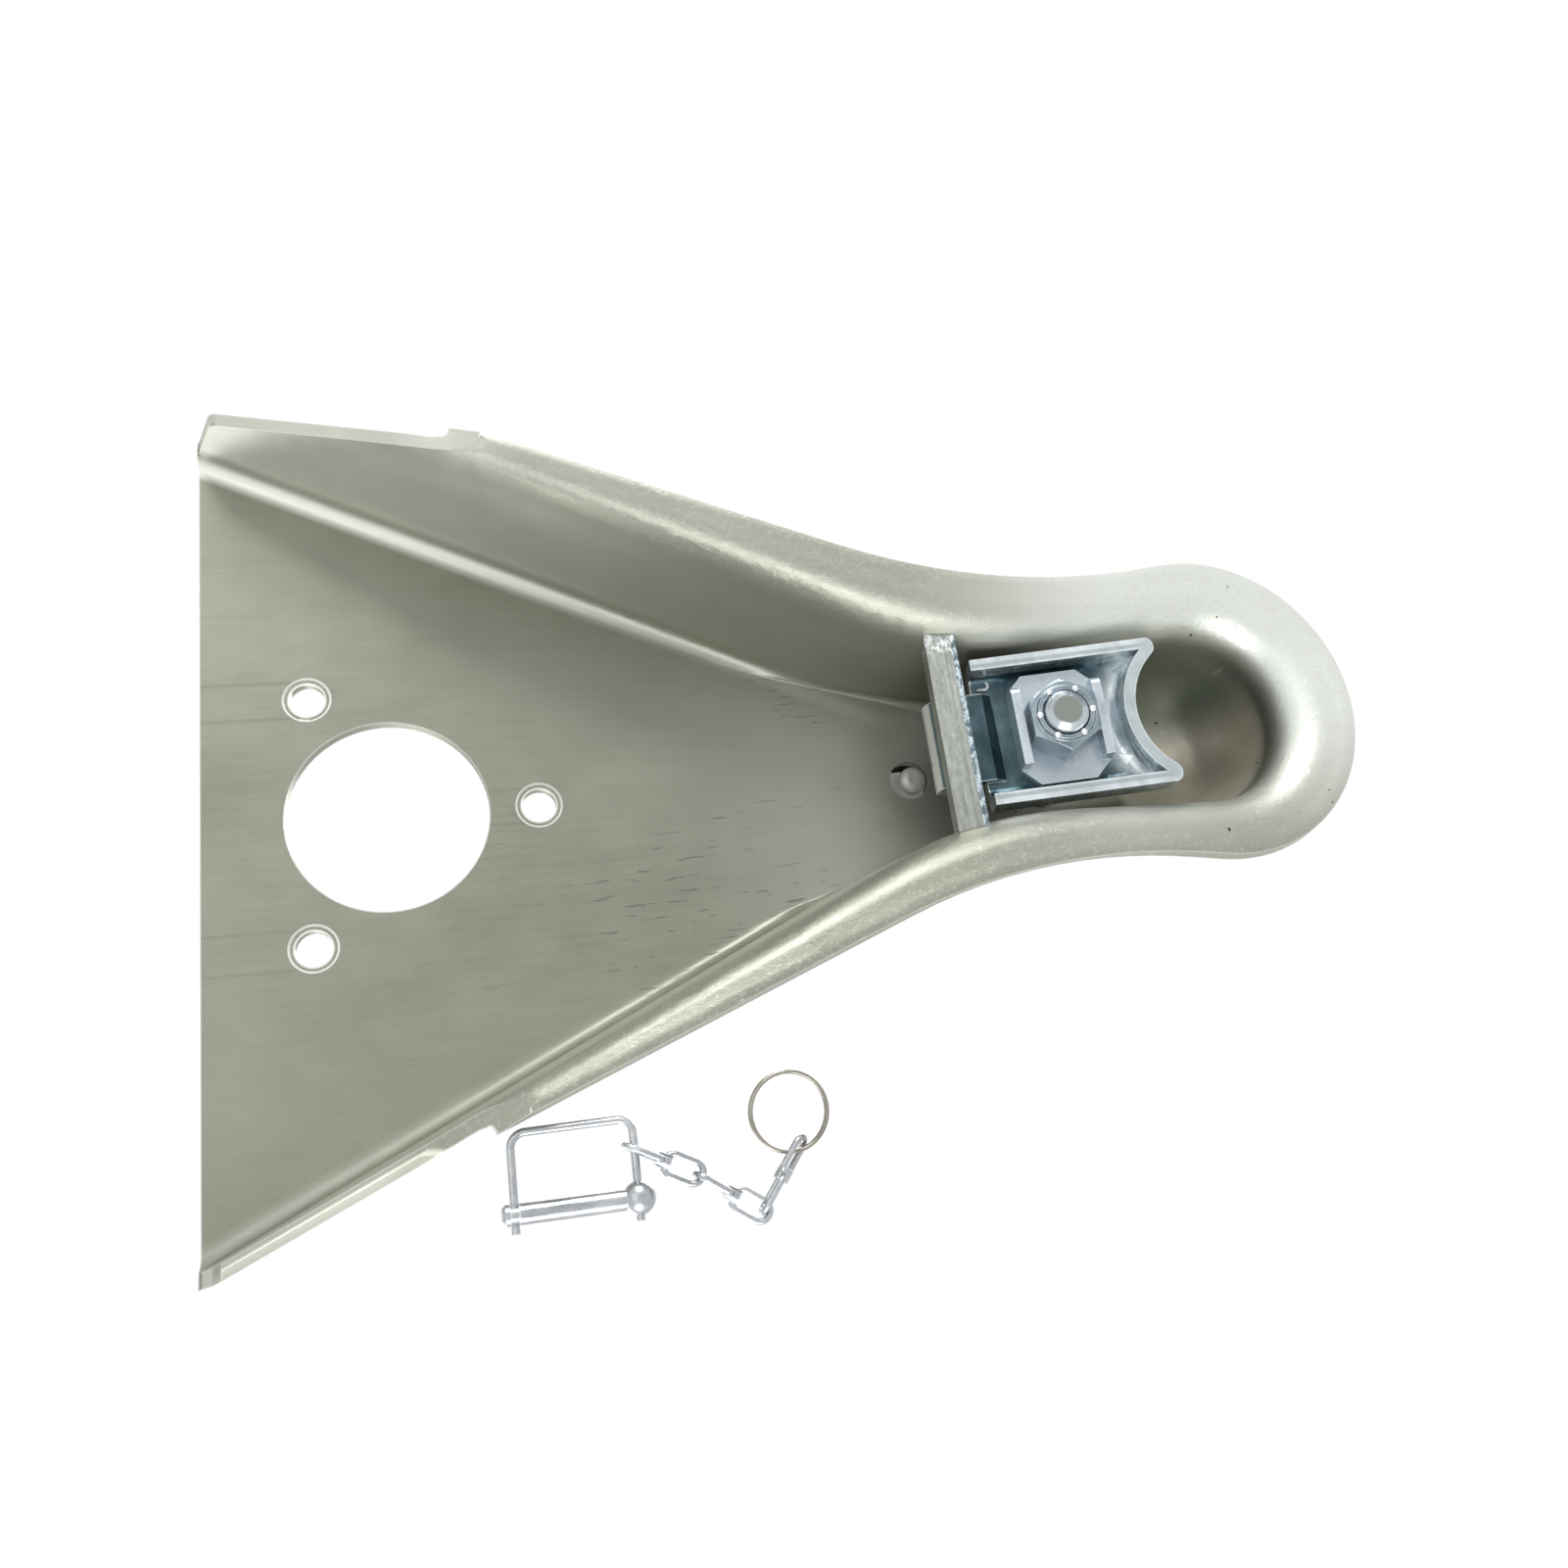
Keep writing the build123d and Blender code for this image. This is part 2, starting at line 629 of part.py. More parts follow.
with BuildPart() as wear_plate:
    with BuildSketch(Plane(origin=wedge_foot, x_dir=(1, 0, 0), z_dir=(0, -1, 0))):
        rear_height = wedge_middle_height / lean_up[2] + wedge_half_length * tan(radians(lean))
        front_height = wedge_middle_height / lean_up[2] - wedge_half_length * tan(radians(lean))
        with BuildLine():
            Polyline(
                (-wedge_half_length, -wedge_recess),
                (wedge_half_length, -wedge_recess),
                (wedge_half_length, front_height),
                (-wedge_half_length, rear_height),
                close=True,
            )
        make_face()
    extrude(amount=wedge_half_width, both=True)
    fillet(wear_plate.edges().filter_by(Axis.Z), wedge_corner_radius)
    # Slot that the bolt's eye sinks into as the latch opens
    with BuildSketch(bolt_frame.offset(height_on_bolt(plate_top) - wedge_middle_height)):
        Rectangle(2 * (eye_radius + wedge_slot_margin), 2 * (bolt_radius + wedge_slot_margin))
    extrude(amount=4 * wedge_middle_height, mode=Mode.SUBTRACT)
wear_plate.part.label = "wear_plate"
export_step(wear_plate.part, "parts/wear_plate.step")


def cam_point(turn):
    """Point of the cam that bears on the wedge when the handle is opened by a turn in radians."""
    facing = turn - radians(lean)
    reach = cam_height - cam_gap - cam_rate * turn
    return (
        reach * sin(facing) - cam_rate * cos(facing),
        -reach * cos(facing) - cam_rate * sin(facing),
    )


handle_rear = -handle_length
cheek_outer = cheek_gap / 2 + cheek_thickness
cam_curve = [cam_point(radians(travel_angle) * step / cam_steps) for step in range(cam_steps + 1)]
flat_length = wedge_half_length + cam_flat_overhang - cam_rate
flat_end = (cam_curve[0][0] - flat_length * lean_ahead[0], cam_curve[0][1] - flat_length * lean_ahead[2])
web_slope = (head_height - handle_rear_top) / (handle_length - web_front)

with BuildPart() as latch_handle:
    with BuildSketch(pivot_side) as cheek_side:
        with BuildLine():
            cam = Spline(*cam_curve, tangents=[lean_ahead[0::2], (sin(radians(lean)), cos(radians(lean)))])
            brow = Line(cam @ 1, (head_front, head_height - head_corner_radius))
            crown = RadiusArc(brow @ 1, (head_front - head_corner_radius, head_height), -head_corner_radius)
            back = Polyline(
                crown @ 1,
                (-web_front, head_height),
                (handle_rear, handle_rear_top),
                (handle_rear, cheek_bottom_rear),
                (flat_end[0] - cam_heel_length, cheek_bottom_front),
                flat_end,
                cam @ 0,
            )
        make_face()
    extrude(amount=cheek_outer, both=True)
    # Rounded rear end in plan
    rear_corners = latch_handle.edges().filter_by(Axis.Z).sort_by(Axis.X)[:2]
    fillet(rear_corners, handle_end_radius)
    # Folded edges along the web
    folds = latch_handle.edges().filter_by(lambda edge: edge.center().Z > pivot.Z + handle_rear_top - 1)
    folds = folds.filter_by(lambda edge: abs(abs(edge.center().Y) - cheek_outer) < 0.01 and edge.length > web_front)
    fillet(folds.filter_by(lambda edge: edge.center().X < pivot.X - web_front), handle_edge_radius)
    # Room between the cheeks, open at the bottom and at the head
    with BuildSketch(pivot_side):
        with BuildLine():
            Polyline(
                (2 * eye_radius, 2 * head_height),
                (-web_front, 2 * head_height),
                (-web_front, head_height - web_thickness),
                (handle_rear + cheek_thickness, handle_rear_top - web_thickness + cheek_thickness * web_slope),
                (handle_rear + cheek_thickness, 2 * cheek_bottom_front),
                (2 * eye_radius, 2 * cheek_bottom_front),
                close=True,
            )
        make_face()
    extrude(amount=cheek_gap / 2, both=True, mode=Mode.SUBTRACT)
    # Lip at the end for the hand
    with BuildSketch(pivot_side):
        with BuildLine():
            lip = FilletPolyline(
                (handle_rear + cheek_thickness, handle_rear_top - web_thickness / 2),
                (handle_rear - grip_lip_flat, handle_rear_top - web_thickness / 2),
                (handle_rear - grip_lip_length, handle_rear_top + grip_lip_rise),
                radius=grip_lip_rise,
            )
            offset(lip, web_thickness / 2)
        make_face()
    extrude(amount=cheek_gap / 2, both=True)
    # Holes for the pivot pin, the trigger's pin and the safety pin
    with BuildSketch(pivot_side):
        Circle(pivot_pin_radius)
        with Locations((trigger_pin_x, trigger_pin_z)):
            Circle(trigger_pin_radius)
        with Locations((pin_hole_x, pin_hole_z)):
            Circle(pin_radius + pin_hole_clearance)
    extrude(amount=2 * cheek_outer, both=True, mode=Mode.SUBTRACT)
latch_handle.part.label = "latch_handle"
export_step(latch_handle.part, "parts/latch_handle.step")


with BuildPart() as handle_pivot_pin:
    with BuildSketch(pivot_side.offset(-cheek_outer - pivot_pin_overhang)):
        Circle(pivot_pin_radius)
    extrude(amount=2 * cheek_outer + pivot_pin_overhang)
    with BuildSketch(pivot_side.offset(cheek_outer)):
        Circle(pivot_head_radius)
    extrude(amount=pivot_head_thickness)
    with BuildSketch(pivot_side.offset(-cheek_outer)):
        Circle(2 * pivot_pin_radius)
        Circle(pivot_pin_radius - clip_groove_depth, mode=Mode.SUBTRACT)
    extrude(amount=-clip_thickness, mode=Mode.SUBTRACT)
handle_pivot_pin.part.label = "handle_pivot_pin"
export_step(handle_pivot_pin.part, "parts/handle_pivot_pin.step")

with BuildPart() as pivot_clip:
    with BuildSketch(pivot_side.offset(-cheek_outer)):
        Circle(clip_radius)
        Circle(pivot_pin_radius - clip_groove_depth, mode=Mode.SUBTRACT)
        with Locations((0, clip_radius)):
            Rectangle(clip_mouth, 2 * clip_radius, mode=Mode.SUBTRACT)
    extrude(amount=-clip_thickness)
pivot_clip.part.label = "pivot_clip"
export_step(pivot_clip.part, "parts/pivot_clip.step")


nose_x = lock_hole_x + nose_offset - pivot.X
plate_underside_z = plate_underside - pivot.Z
trigger_bar_bottom = trigger_bar_top - trigger_bar_height
tab_slant = trigger_bar_height / sqrt(2)

with BuildPart() as latch_trigger:
    with BuildSketch(pivot_side):
        with BuildLine():
            bar = FilletPolyline(
                (trigger_pin_x, trigger_bar_top),
                (trigger_tab_end + trigger_tab_drop, trigger_bar_top),
                (trigger_tab_end, trigger_bar_top - trigger_tab_drop),
                (trigger_tab_end + tab_slant, trigger_bar_top - trigger_tab_drop - tab_slant),
                (trigger_tab_end + trigger_tab_drop + tab_slant / 2, trigger_bar_bottom),
                (trigger_pin_x, trigger_bar_bottom),
                radius=trigger_edge_radius,
                close=True,
            )
        make_face()
    extrude(amount=trigger_half_width, both=True)
    with BuildSketch(pivot_side):
        with Locations((trigger_pin_x, trigger_pin_z)):
            Circle(trigger_boss_radius)
    extrude(amount=cheek_gap / 2 - trigger_side_gap, both=True)
    # Round nose that drops into the plate's hole
    nose_top = pivot_side.from_local_coords((nose_x, trigger_bar_bottom + 1, 0))
    nose_tip = pivot_side.from_local_coords((nose_x, plate_underside_z - nose_stick_out, 0))
    with BuildSketch(Plane(nose_top)):
        Circle(nose_radius)
    extrude(amount=nose_tip.Z - nose_top.Z)
    fillet(latch_trigger.edges().filter_by(GeomType.CIRCLE).sort_by(Axis.Z)[0], nose_edge_radius)
    with BuildSketch(pivot_side):
        with Locations((trigger_pin_x, trigger_pin_z)):
            Circle(trigger_pin_radius + running_gap)
    extrude(amount=cheek_gap, both=True, mode=Mode.SUBTRACT)
latch_trigger.part.label = "latch_trigger"
export_step(latch_trigger.part, "parts/latch_trigger.step")


with BuildPart() as trigger_pin:
    trigger_pivot = pivot_side.from_local_coords((trigger_pin_x, trigger_pin_z, 0))
    with BuildSketch(Plane(trigger_pivot, x_dir=(1, 0, 0), z_dir=(0, -1, 0))):
        Circle(trigger_pin_radius)
    extrude(amount=cheek_outer + trigger_pin_overhang, both=True)
    fillet(trigger_pin.edges().filter_by(GeomType.CIRCLE), trigger_pin_edge_radius)
trigger_pin.part.label = "trigger_pin"
export_step(trigger_pin.part, "parts/trigger_pin.step")

with BuildPart() as trigger_spring:
    web_under = head_height - (-trigger_spring_x - web_front) * web_slope - web_thickness
    spring_low = trigger_bar_top + trigger_spring_end_gap + trigger_spring_wire_radius
    spring_top = web_under - trigger_spring_end_gap - trigger_spring_wire_radius - trigger_spring_radius * web_slope
    small_height = spring_top - spring_low
    small_base = Plane(pivot_side.from_local_coords((trigger_spring_x, spring_low, 0)))
    small_coil = coil_path(small_base, small_height / trigger_spring_turns, small_height, trigger_spring_radius)
    with BuildSketch(Plane(origin=small_coil @ 0, z_dir=small_coil % 0)):
        Circle(trigger_spring_wire_radius)
    sweep(path=small_coil, is_frenet=True)
trigger_spring.part.label = "trigger_spring"
export_step(trigger_spring.part, "parts/trigger_spring.step")


# Safety pin: its head's ball and its tip both rest on the floor
head_centre = Vector(pin_head_x, pin_head_y, floor_level + pin_head_radius)
pin_slope = (pin_head_radius - pin_radius) / pin_length
pin_back = Vector(-cos(pin_slope), 0, -sin(pin_slope))
pin_frame = Plane(origin=head_centre, x_dir=(0, 1, 0), z_dir=pin_back)

with BuildPart() as safety_pin:
    with BuildSketch(pin_frame):
        Circle(pin_radius)
    extrude(amount=pin_length)
    chamfer(safety_pin.edges().filter_by(GeomType.CIRCLE).sort_by(Axis.X)[0], pin_tip_chamfer)
    with BuildSketch(pin_frame.offset(pin_length - pin_groove_from_tip - bail_wire_radius)):
        Circle(2 * pin_radius)
        Circle(pin_radius - pin_groove_depth, mode=Mode.SUBTRACT)
    extrude(amount=2 * bail_wire_radius, mode=Mode.SUBTRACT)
    with Locations(head_centre):
        Sphere(pin_head_radius)
    with BuildSketch(Plane(head_centre, x_dir=(1, 0, 0), z_dir=(0, -1, 0))):
        Circle(bail_wire_radius + running_gap)
    extrude(amount=2 * pin_head_radius, both=True, mode=Mode.SUBTRACT)
safety_pin.part.label = "safety_pin"
export_step(safety_pin.part, "parts/safety_pin.step")

with BuildPart() as bail_wire:
    tip_rise = pin_radius - pin_groove_depth + bail_wire_radius + bail_tip_gap
    over_tip = head_centre + pin_back * (pin_length - pin_groove_from_tip) + Vector(0, 0, tip_rise)
    bow_y = pin_head_y - bail_depth
    with BuildLine():
        bow = FilletPolyline(
            head_centre + Vector(0, bail_stub, 0),
            Vector(head_centre.X, bow_y, head_centre.Z),
            Vector(over_tip.X, bow_y, over_tip.Z),
            Vector(over_tip.X, pin_head_y + bail_overshoot, over_tip.Z),
            radius=bail_corner_radius,
        )
    with BuildSketch(Plane(origin=bow @ 0, z_dir=bow % 0)):
        Circle(bail_wire_radius)
    sweep(path=bow)
bail_wire.part.label = "bail_wire"
export_step(bail_wire.part, "parts/bail_wire.step")


# Chain of knotted wire links from the bow's leg to the split ring
link_pitch = link_length - 2 * link_wire_radius - link_gap
loop_length = link_length / 2
chain_level = floor_level + chain_height


def link_plane(middle, heading, roll):
    """Plane of a link's loop: x along the link, y across the loop."""
    along = Vector(1, 0, 0).rotate(Axis.Z, heading)
    across = Vector(0, 1, 0).rotate(Axis.Z, heading).rotate(Axis(Vector(), along), roll)
    return Plane(origin=middle, x_dir=along, z_dir=along.cross(across))


with BuildPart() as link_loop:
    straight = loop_length - 2 * link_half_width
    with BuildLine() as loop_line:
        lower = Line((-straight / 2, -link_half_width), (straight / 2, -link_half_width))
        tip_bend = ThreePointArc(lower @ 1, (loop_length / 2, 0), (straight / 2, link_half_width))
        upper = Line(tip_bend @ 1, (-straight / 2, link_half_width))
        ThreePointArc(upper @ 1, (-loop_length / 2, 0), lower @ 0)
    with BuildSketch(Plane(origin=lower @ 0, z_dir=lower % 0)):
        Circle(link_wire_radius)
    sweep(path=loop_line.wire())

link_tip = Vector(pin_head_x, pin_head_y - chain_leg_offset, chain_level)
link_tip -= Vector(1, 0, 0).rotate(Axis.Z, link_headings[0]) * link_half_width

for number, (heading, start_roll, end_roll) in enumerate(zip(link_headings, link_start_rolls, link_end_rolls), 1):
    along = Vector(1, 0, 0).rotate(Axis.Z, heading)
    with BuildPart() as chain_link:
        for reach, roll in ((loop_length / 2, start_roll), (3 * loop_length / 2, end_roll)):
            add(link_loop.part.moved(link_plane(link_tip + along * reach, heading, roll).location))
        with BuildSketch(Plane(origin=link_tip + along * loop_length, z_dir=along)):
            Circle(link_knot_radius)
        extrude(amount=link_knot_length / 2, both=True)
    chain_link.part.label = f"chain_link_{number}"
    export_step(chain_link.part, f"parts/chain_link_{number}.step")
    link_tip += along * link_pitch

ring_touch = link_tip + along * (2 * link_wire_radius + link_gap - link_half_width - ring_slack)
ring_out = Vector(1, 0, 0).rotate(Axis.Z, ring_heading)
ring_down = ring_out * cos(radians(ring_tilt)) - Vector(0, 0, 1) * sin(radians(ring_tilt))
ring_centre = ring_touch + ring_down * ring_radius
ring_plane = Plane(ring_centre, x_dir=ring_down, z_dir=Vector(0, 0, 1).cross(ring_out).cross(ring_down) * -1)

with BuildPart() as split_ring:
    ring_pitch = 2 * ring_wire_radius + ring_turn_gap
    turns = coil_path(ring_plane.offset(-ring_pitch), ring_pitch, 2 * ring_pitch, ring_radius)
    with BuildSketch(Plane(origin=turns @ 0, z_dir=turns % 0)):
        Circle(ring_wire_radius)
    sweep(path=turns, is_frenet=True)
split_ring.part.label = "split_ring"
export_step(split_ring.part, "parts/split_ring.step")
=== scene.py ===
"""Looks of a pressed and zinc plated trailer coupling head, seen from below."""

import logging
from dataclasses import dataclass, field
from enum import Enum
from math import cos, hypot, radians, sin, tan

import bpy
from mathutils import Matrix, Vector


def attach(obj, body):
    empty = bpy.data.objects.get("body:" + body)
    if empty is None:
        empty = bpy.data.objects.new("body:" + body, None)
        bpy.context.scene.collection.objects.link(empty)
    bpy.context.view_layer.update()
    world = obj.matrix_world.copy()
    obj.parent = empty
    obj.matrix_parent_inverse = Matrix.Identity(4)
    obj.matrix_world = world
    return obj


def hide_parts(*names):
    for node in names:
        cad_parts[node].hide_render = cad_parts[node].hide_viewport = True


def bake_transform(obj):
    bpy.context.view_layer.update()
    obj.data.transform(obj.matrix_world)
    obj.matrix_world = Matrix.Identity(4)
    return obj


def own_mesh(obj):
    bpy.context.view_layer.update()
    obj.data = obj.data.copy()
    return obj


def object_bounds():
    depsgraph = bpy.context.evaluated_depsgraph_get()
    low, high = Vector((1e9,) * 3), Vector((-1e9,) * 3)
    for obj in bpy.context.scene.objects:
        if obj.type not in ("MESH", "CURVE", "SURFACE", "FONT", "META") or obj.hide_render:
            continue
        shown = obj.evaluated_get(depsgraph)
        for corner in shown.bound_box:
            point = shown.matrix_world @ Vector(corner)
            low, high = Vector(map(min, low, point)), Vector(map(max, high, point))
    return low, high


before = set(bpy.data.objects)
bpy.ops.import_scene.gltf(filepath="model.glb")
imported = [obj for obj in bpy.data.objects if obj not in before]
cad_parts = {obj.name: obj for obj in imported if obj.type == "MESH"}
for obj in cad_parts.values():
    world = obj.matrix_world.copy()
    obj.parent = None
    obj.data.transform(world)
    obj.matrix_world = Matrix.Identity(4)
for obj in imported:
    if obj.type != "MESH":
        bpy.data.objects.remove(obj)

CAD_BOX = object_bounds()
MM = 0.001

Colour = tuple[float, float, float]
Triple = tuple[float, float, float]
Span = tuple[float, float]

LEAN = radians(12.0)
NOISE_MIDDLE = 0.5
# Cosine between the eased and the plain normal at which the edges' rubbed plate and painted highlight start,
# and at which they are full
BRIGHT_EDGE_COSINES: Span = (0.985, 0.9)
PIECE_SMOOTH_ANGLE = 40.0

log = logging.getLogger("coupling_head")


@dataclass(frozen=True)
class LeaningFrame:
    """Frame of the clamp or the bolt, whose top leans towards the nose. Places are in metres."""

    x: float
    z: float
    lean: float = LEAN

    def coordinates(self, x: "Tone", z: "Tone") -> tuple["Tone", "Tone"]:
        """Place along and up the frame of a place on the part.

        Args:
            x: Place along the part.
            z: Place up the part.

        Returns:
            The place along the frame and the place up it.
        """
        along = (x - self.x) * cos(self.lean) - (z - self.z) * sin(self.lean)
        up = (x - self.x) * sin(self.lean) + (z - self.z) * cos(self.lean)
        return along, up

    def matrix(self) -> Matrix:
        """Matrix that carries a mesh from the frame to the part."""
        return Matrix.Translation((self.x, 0, self.z)) @ Matrix.Rotation(self.lean, 4, "Y")

    def sunk(self, along: float, up: float) -> "LeaningFrame":
        """The same frame at another place of its own.

        Args:
            along: Place along this frame.
            up: Place up this frame.

        Returns:
            The moved frame.
        """
        place = self.matrix() @ Vector((along, 0, up))
        return LeaningFrame(place.x, place.z, self.lean)


# The clamp's frame starts at the bar's centre, the bolt's at the saddle's lower face
BAR_FRAME = LeaningFrame(-0.0765, -0.0142)
BOLT_FRAME = BAR_FRAME.sunk(0.0316, 0.0052)


class Tone:
    """A number that flows through a material, with Python's operators as Math nodes."""

    def __init__(self, recipe: "Recipe", socket: bpy.types.NodeSocket) -> None:
        """Wraps a socket.

        Args:
            recipe: The material that the socket belongs to.
            socket: The output socket that carries the number.
        """
        self.recipe = recipe
        self.socket = socket

    def _maths(self, operation: str, *values: "Tone | float") -> "Tone":
        """Adds one Math node.

        Args:
            operation: The Math node's operation.
            values: Its inputs in order.

        Returns:
            The node's result.
        """
        return self.recipe.add("ShaderNodeMath", {"operation": operation}, dict(enumerate(values)))

    def __add__(self, other: "Tone | float") -> "Tone":
        """Sum of two numbers."""
        return self._maths("ADD", self, other)

    __radd__ = __add__

    def __sub__(self, other: "Tone | float") -> "Tone":
        """Difference of two numbers."""
        return self._maths("SUBTRACT", self, other)

    def __rsub__(self, other: float) -> "Tone":
        """Difference that starts from a plain number."""
        return self._maths("SUBTRACT", other, self)

    def __mul__(self, other: "Tone | float") -> "Tone":
        """Product of two numbers."""
        return self._maths("MULTIPLY", self, other)

    __rmul__ = __mul__

    def __pow__(self, other: float) -> "Tone":
        """Power of a number."""
        return self._maths("POWER", self, other)

    def __abs__(self) -> "Tone":
        """Size of a number without its sign."""
        return self._maths("ABSOLUTE", self)

    def lesser(self, other: "Tone | float") -> "Tone":
        """The lesser of two numbers."""
        return self._maths("MINIMUM", self, other)

    def ramp(self, low: float, high: float) -> "Tone":
        """Smooth step between two values.

        Args:
            low: Value at which the result is 0.
            high: Value at which the result is 1. It may be the lower one.

        Returns:
            A mask from 0 to 1.
        """
        settings = {"interpolation_type": "SMOOTHSTEP"}
        inputs = {"Value": self, "From Min": low, "From Max": high}
        return self.recipe.add("ShaderNodeMapRange", settings, inputs)

    def near(self, place: float, full: float, none: float) -> "Tone":
        """Smooth band round a value.

        Args:
            place: The band's middle.
            full: Distance from the middle up to which the result is 1.
            none: Distance from the middle at which it is 0.

        Returns:
            A mask from 0 to 1.
        """
        return abs(self - place).ramp(none, full)


class Recipe:
    """A material's node tree and the ways to add to it."""

    def __init__(self, name: str) -> None:
        """Starts an empty material.

        Args:
            name: The material's name.
        """
        self.material = bpy.data.materials.new(name)
        self.material.use_nodes = True
        self.tree = self.material.node_tree
        self.tree.nodes.clear()

    def add(self, kind: str, settings: dict | None = None, inputs: dict | None = None,
            output: int | str = 0) -> Tone:
        """Adds a node.

        Args:
            kind: The node's type.
            settings: Values of its properties.
            inputs: Values or links of its sockets, by name or number.
            output: Which of its outputs to return.

        Returns:
            The chosen output.
        """
        node = self.tree.nodes.new(kind)
        for key, value in (settings or {}).items():
            setattr(node, key, value)
        for key, value in (inputs or {}).items():
            if isinstance(value, Tone):
                self.tree.links.new(value.socket, node.inputs[key])
            else:
                node.inputs[key].default_value = value
        return Tone(self, node.outputs[output])

    def place(self, scale: Triple = (1, 1, 1), turn: Triple = (0, 0, 0)) -> Tone:
        """Place on the object in metres, stretched and turned.

        Args:
            scale: Factors along the three axes.
            turn: Turn about the three axes in degrees.

        Returns:
            The place as a vector.
        """
        spot = self.add("ShaderNodeTexCoord", output="Object")
        turned = self.add("ShaderNodeMapping", {"vector_type": "POINT"},
                          {"Vector": spot, "Rotation": tuple(radians(angle) for angle in turn)})
        return self.add("ShaderNodeMapping", {"vector_type": "POINT"}, {"Vector": turned, "Scale": scale})

    def axes(self) -> tuple[Tone, Tone, Tone]:
        """The three coordinates of the place on the object, in metres."""
        spot = self.add("ShaderNodeTexCoord", output="Object")
        return tuple(self.add("ShaderNodeSeparateXYZ", None, {0: spot}, axis) for axis in "XYZ")

    def noise(self, scale: Triple, detail: float, turn: Triple = (0, 0, 0), rough: float = 0.5) -> Tone:
        """Cloudy noise.

        Args:
            scale: Waves in a metre along each axis.
            detail: Octaves.
            turn: Turn of the pattern in degrees.
            rough: How much the finer octaves count.

        Returns:
            Noise around 0.5.
        """
        inputs = {"Vector": self.place(scale, turn), "Scale": 1.0, "Detail": detail, "Roughness": rough}
        return self.add("ShaderNodeTexNoise", None, inputs)

    def blend(self, mask: Tone | float, first: Tone | Colour, second: Tone | Colour) -> Tone:
        """Mixes two colours.

        Args:
            mask: 0 for the first colour, 1 for the second.
            first: The first colour.
            second: The second colour.

        Returns:
            The mixed colour.
        """
        settings = {"data_type": "RGBA", "clamp_factor": True}
        colours = [(*colour, 1) if isinstance(colour, tuple) else colour for colour in (first, second)]
        return self.add("ShaderNodeMix", settings, {0: mask, 6: colours[0], 7: colours[1]}, 2)

    def bump(self, height: Tone, depth: float, base: Tone | None = None) -> Tone:
        """Normal of a surface with a height pattern.

        Args:
            height: The pattern from 0 to 1.
            depth: Depth of the pattern in metres.
            base: Normal to start from.

        Returns:
            The bumped normal.
        """
        inputs = {"Height": height, "Distance": depth, "Strength": 1.0}
        if base is not None:
            inputs["Normal"] = base
        return self.add("ShaderNodeBump", None, inputs)

    @staticmethod
    def mottle(middle: float, *layers: tuple[Tone, float]) -> Tone:
        """Sum of several noises.

        Args:
            middle: The result where every noise is at its middle.
            layers: Each noise and how much it counts.

        Returns:
            The sum.
        """
        total = middle
        for noise, weight in layers:
            total = (noise - NOISE_MIDDLE) * weight + total
        return total

    def edge_wear_and_highlight(self, width: float) -> Tone:
        """Mask of the edges, where the plate is rubbed and a painted highlight brightens it.

        Args:
            width: Width of the rubbed and highlighted strip in metres.

        Returns:
            A mask from 0 to 1.
        """
        eased = self.add("ShaderNodeBevel", {"samples": 6}, {"Radius": width})
        plain = self.add("ShaderNodeNewGeometry", output="Normal")
        settings = {"operation": "DOT_PRODUCT"}
        cosine = self.add("ShaderNodeVectorMath", settings, {0: eased, 1: plain}, "Value")
        return cosine.ramp(*BRIGHT_EDGE_COSINES)

    def finish(self, colour: Tone, rough: Tone, metal: float, normal: Tone) -> bpy.types.Material:
        """Closes the material with one surface shader.

        Args:
            colour: Base colour.
            rough: Roughness.
            metal: How metallic it is.
            normal: Normal.

        Returns:
            The material.
        """
        inputs = {"Base Color": colour, "Roughness": rough, "Metallic": metal, "Normal": normal}
        return self.close(self.add("ShaderNodeBsdfPrincipled", None, inputs))

    def close(self, shader: Tone) -> bpy.types.Material:
        """Leads a shader to the material's surface.

        Args:
            shader: The shader.

        Returns:
            The material.
        """
        output = self.tree.nodes.new("ShaderNodeOutputMaterial")
        self.tree.links.new(shader.socket, output.inputs["Surface"])
        return self.material


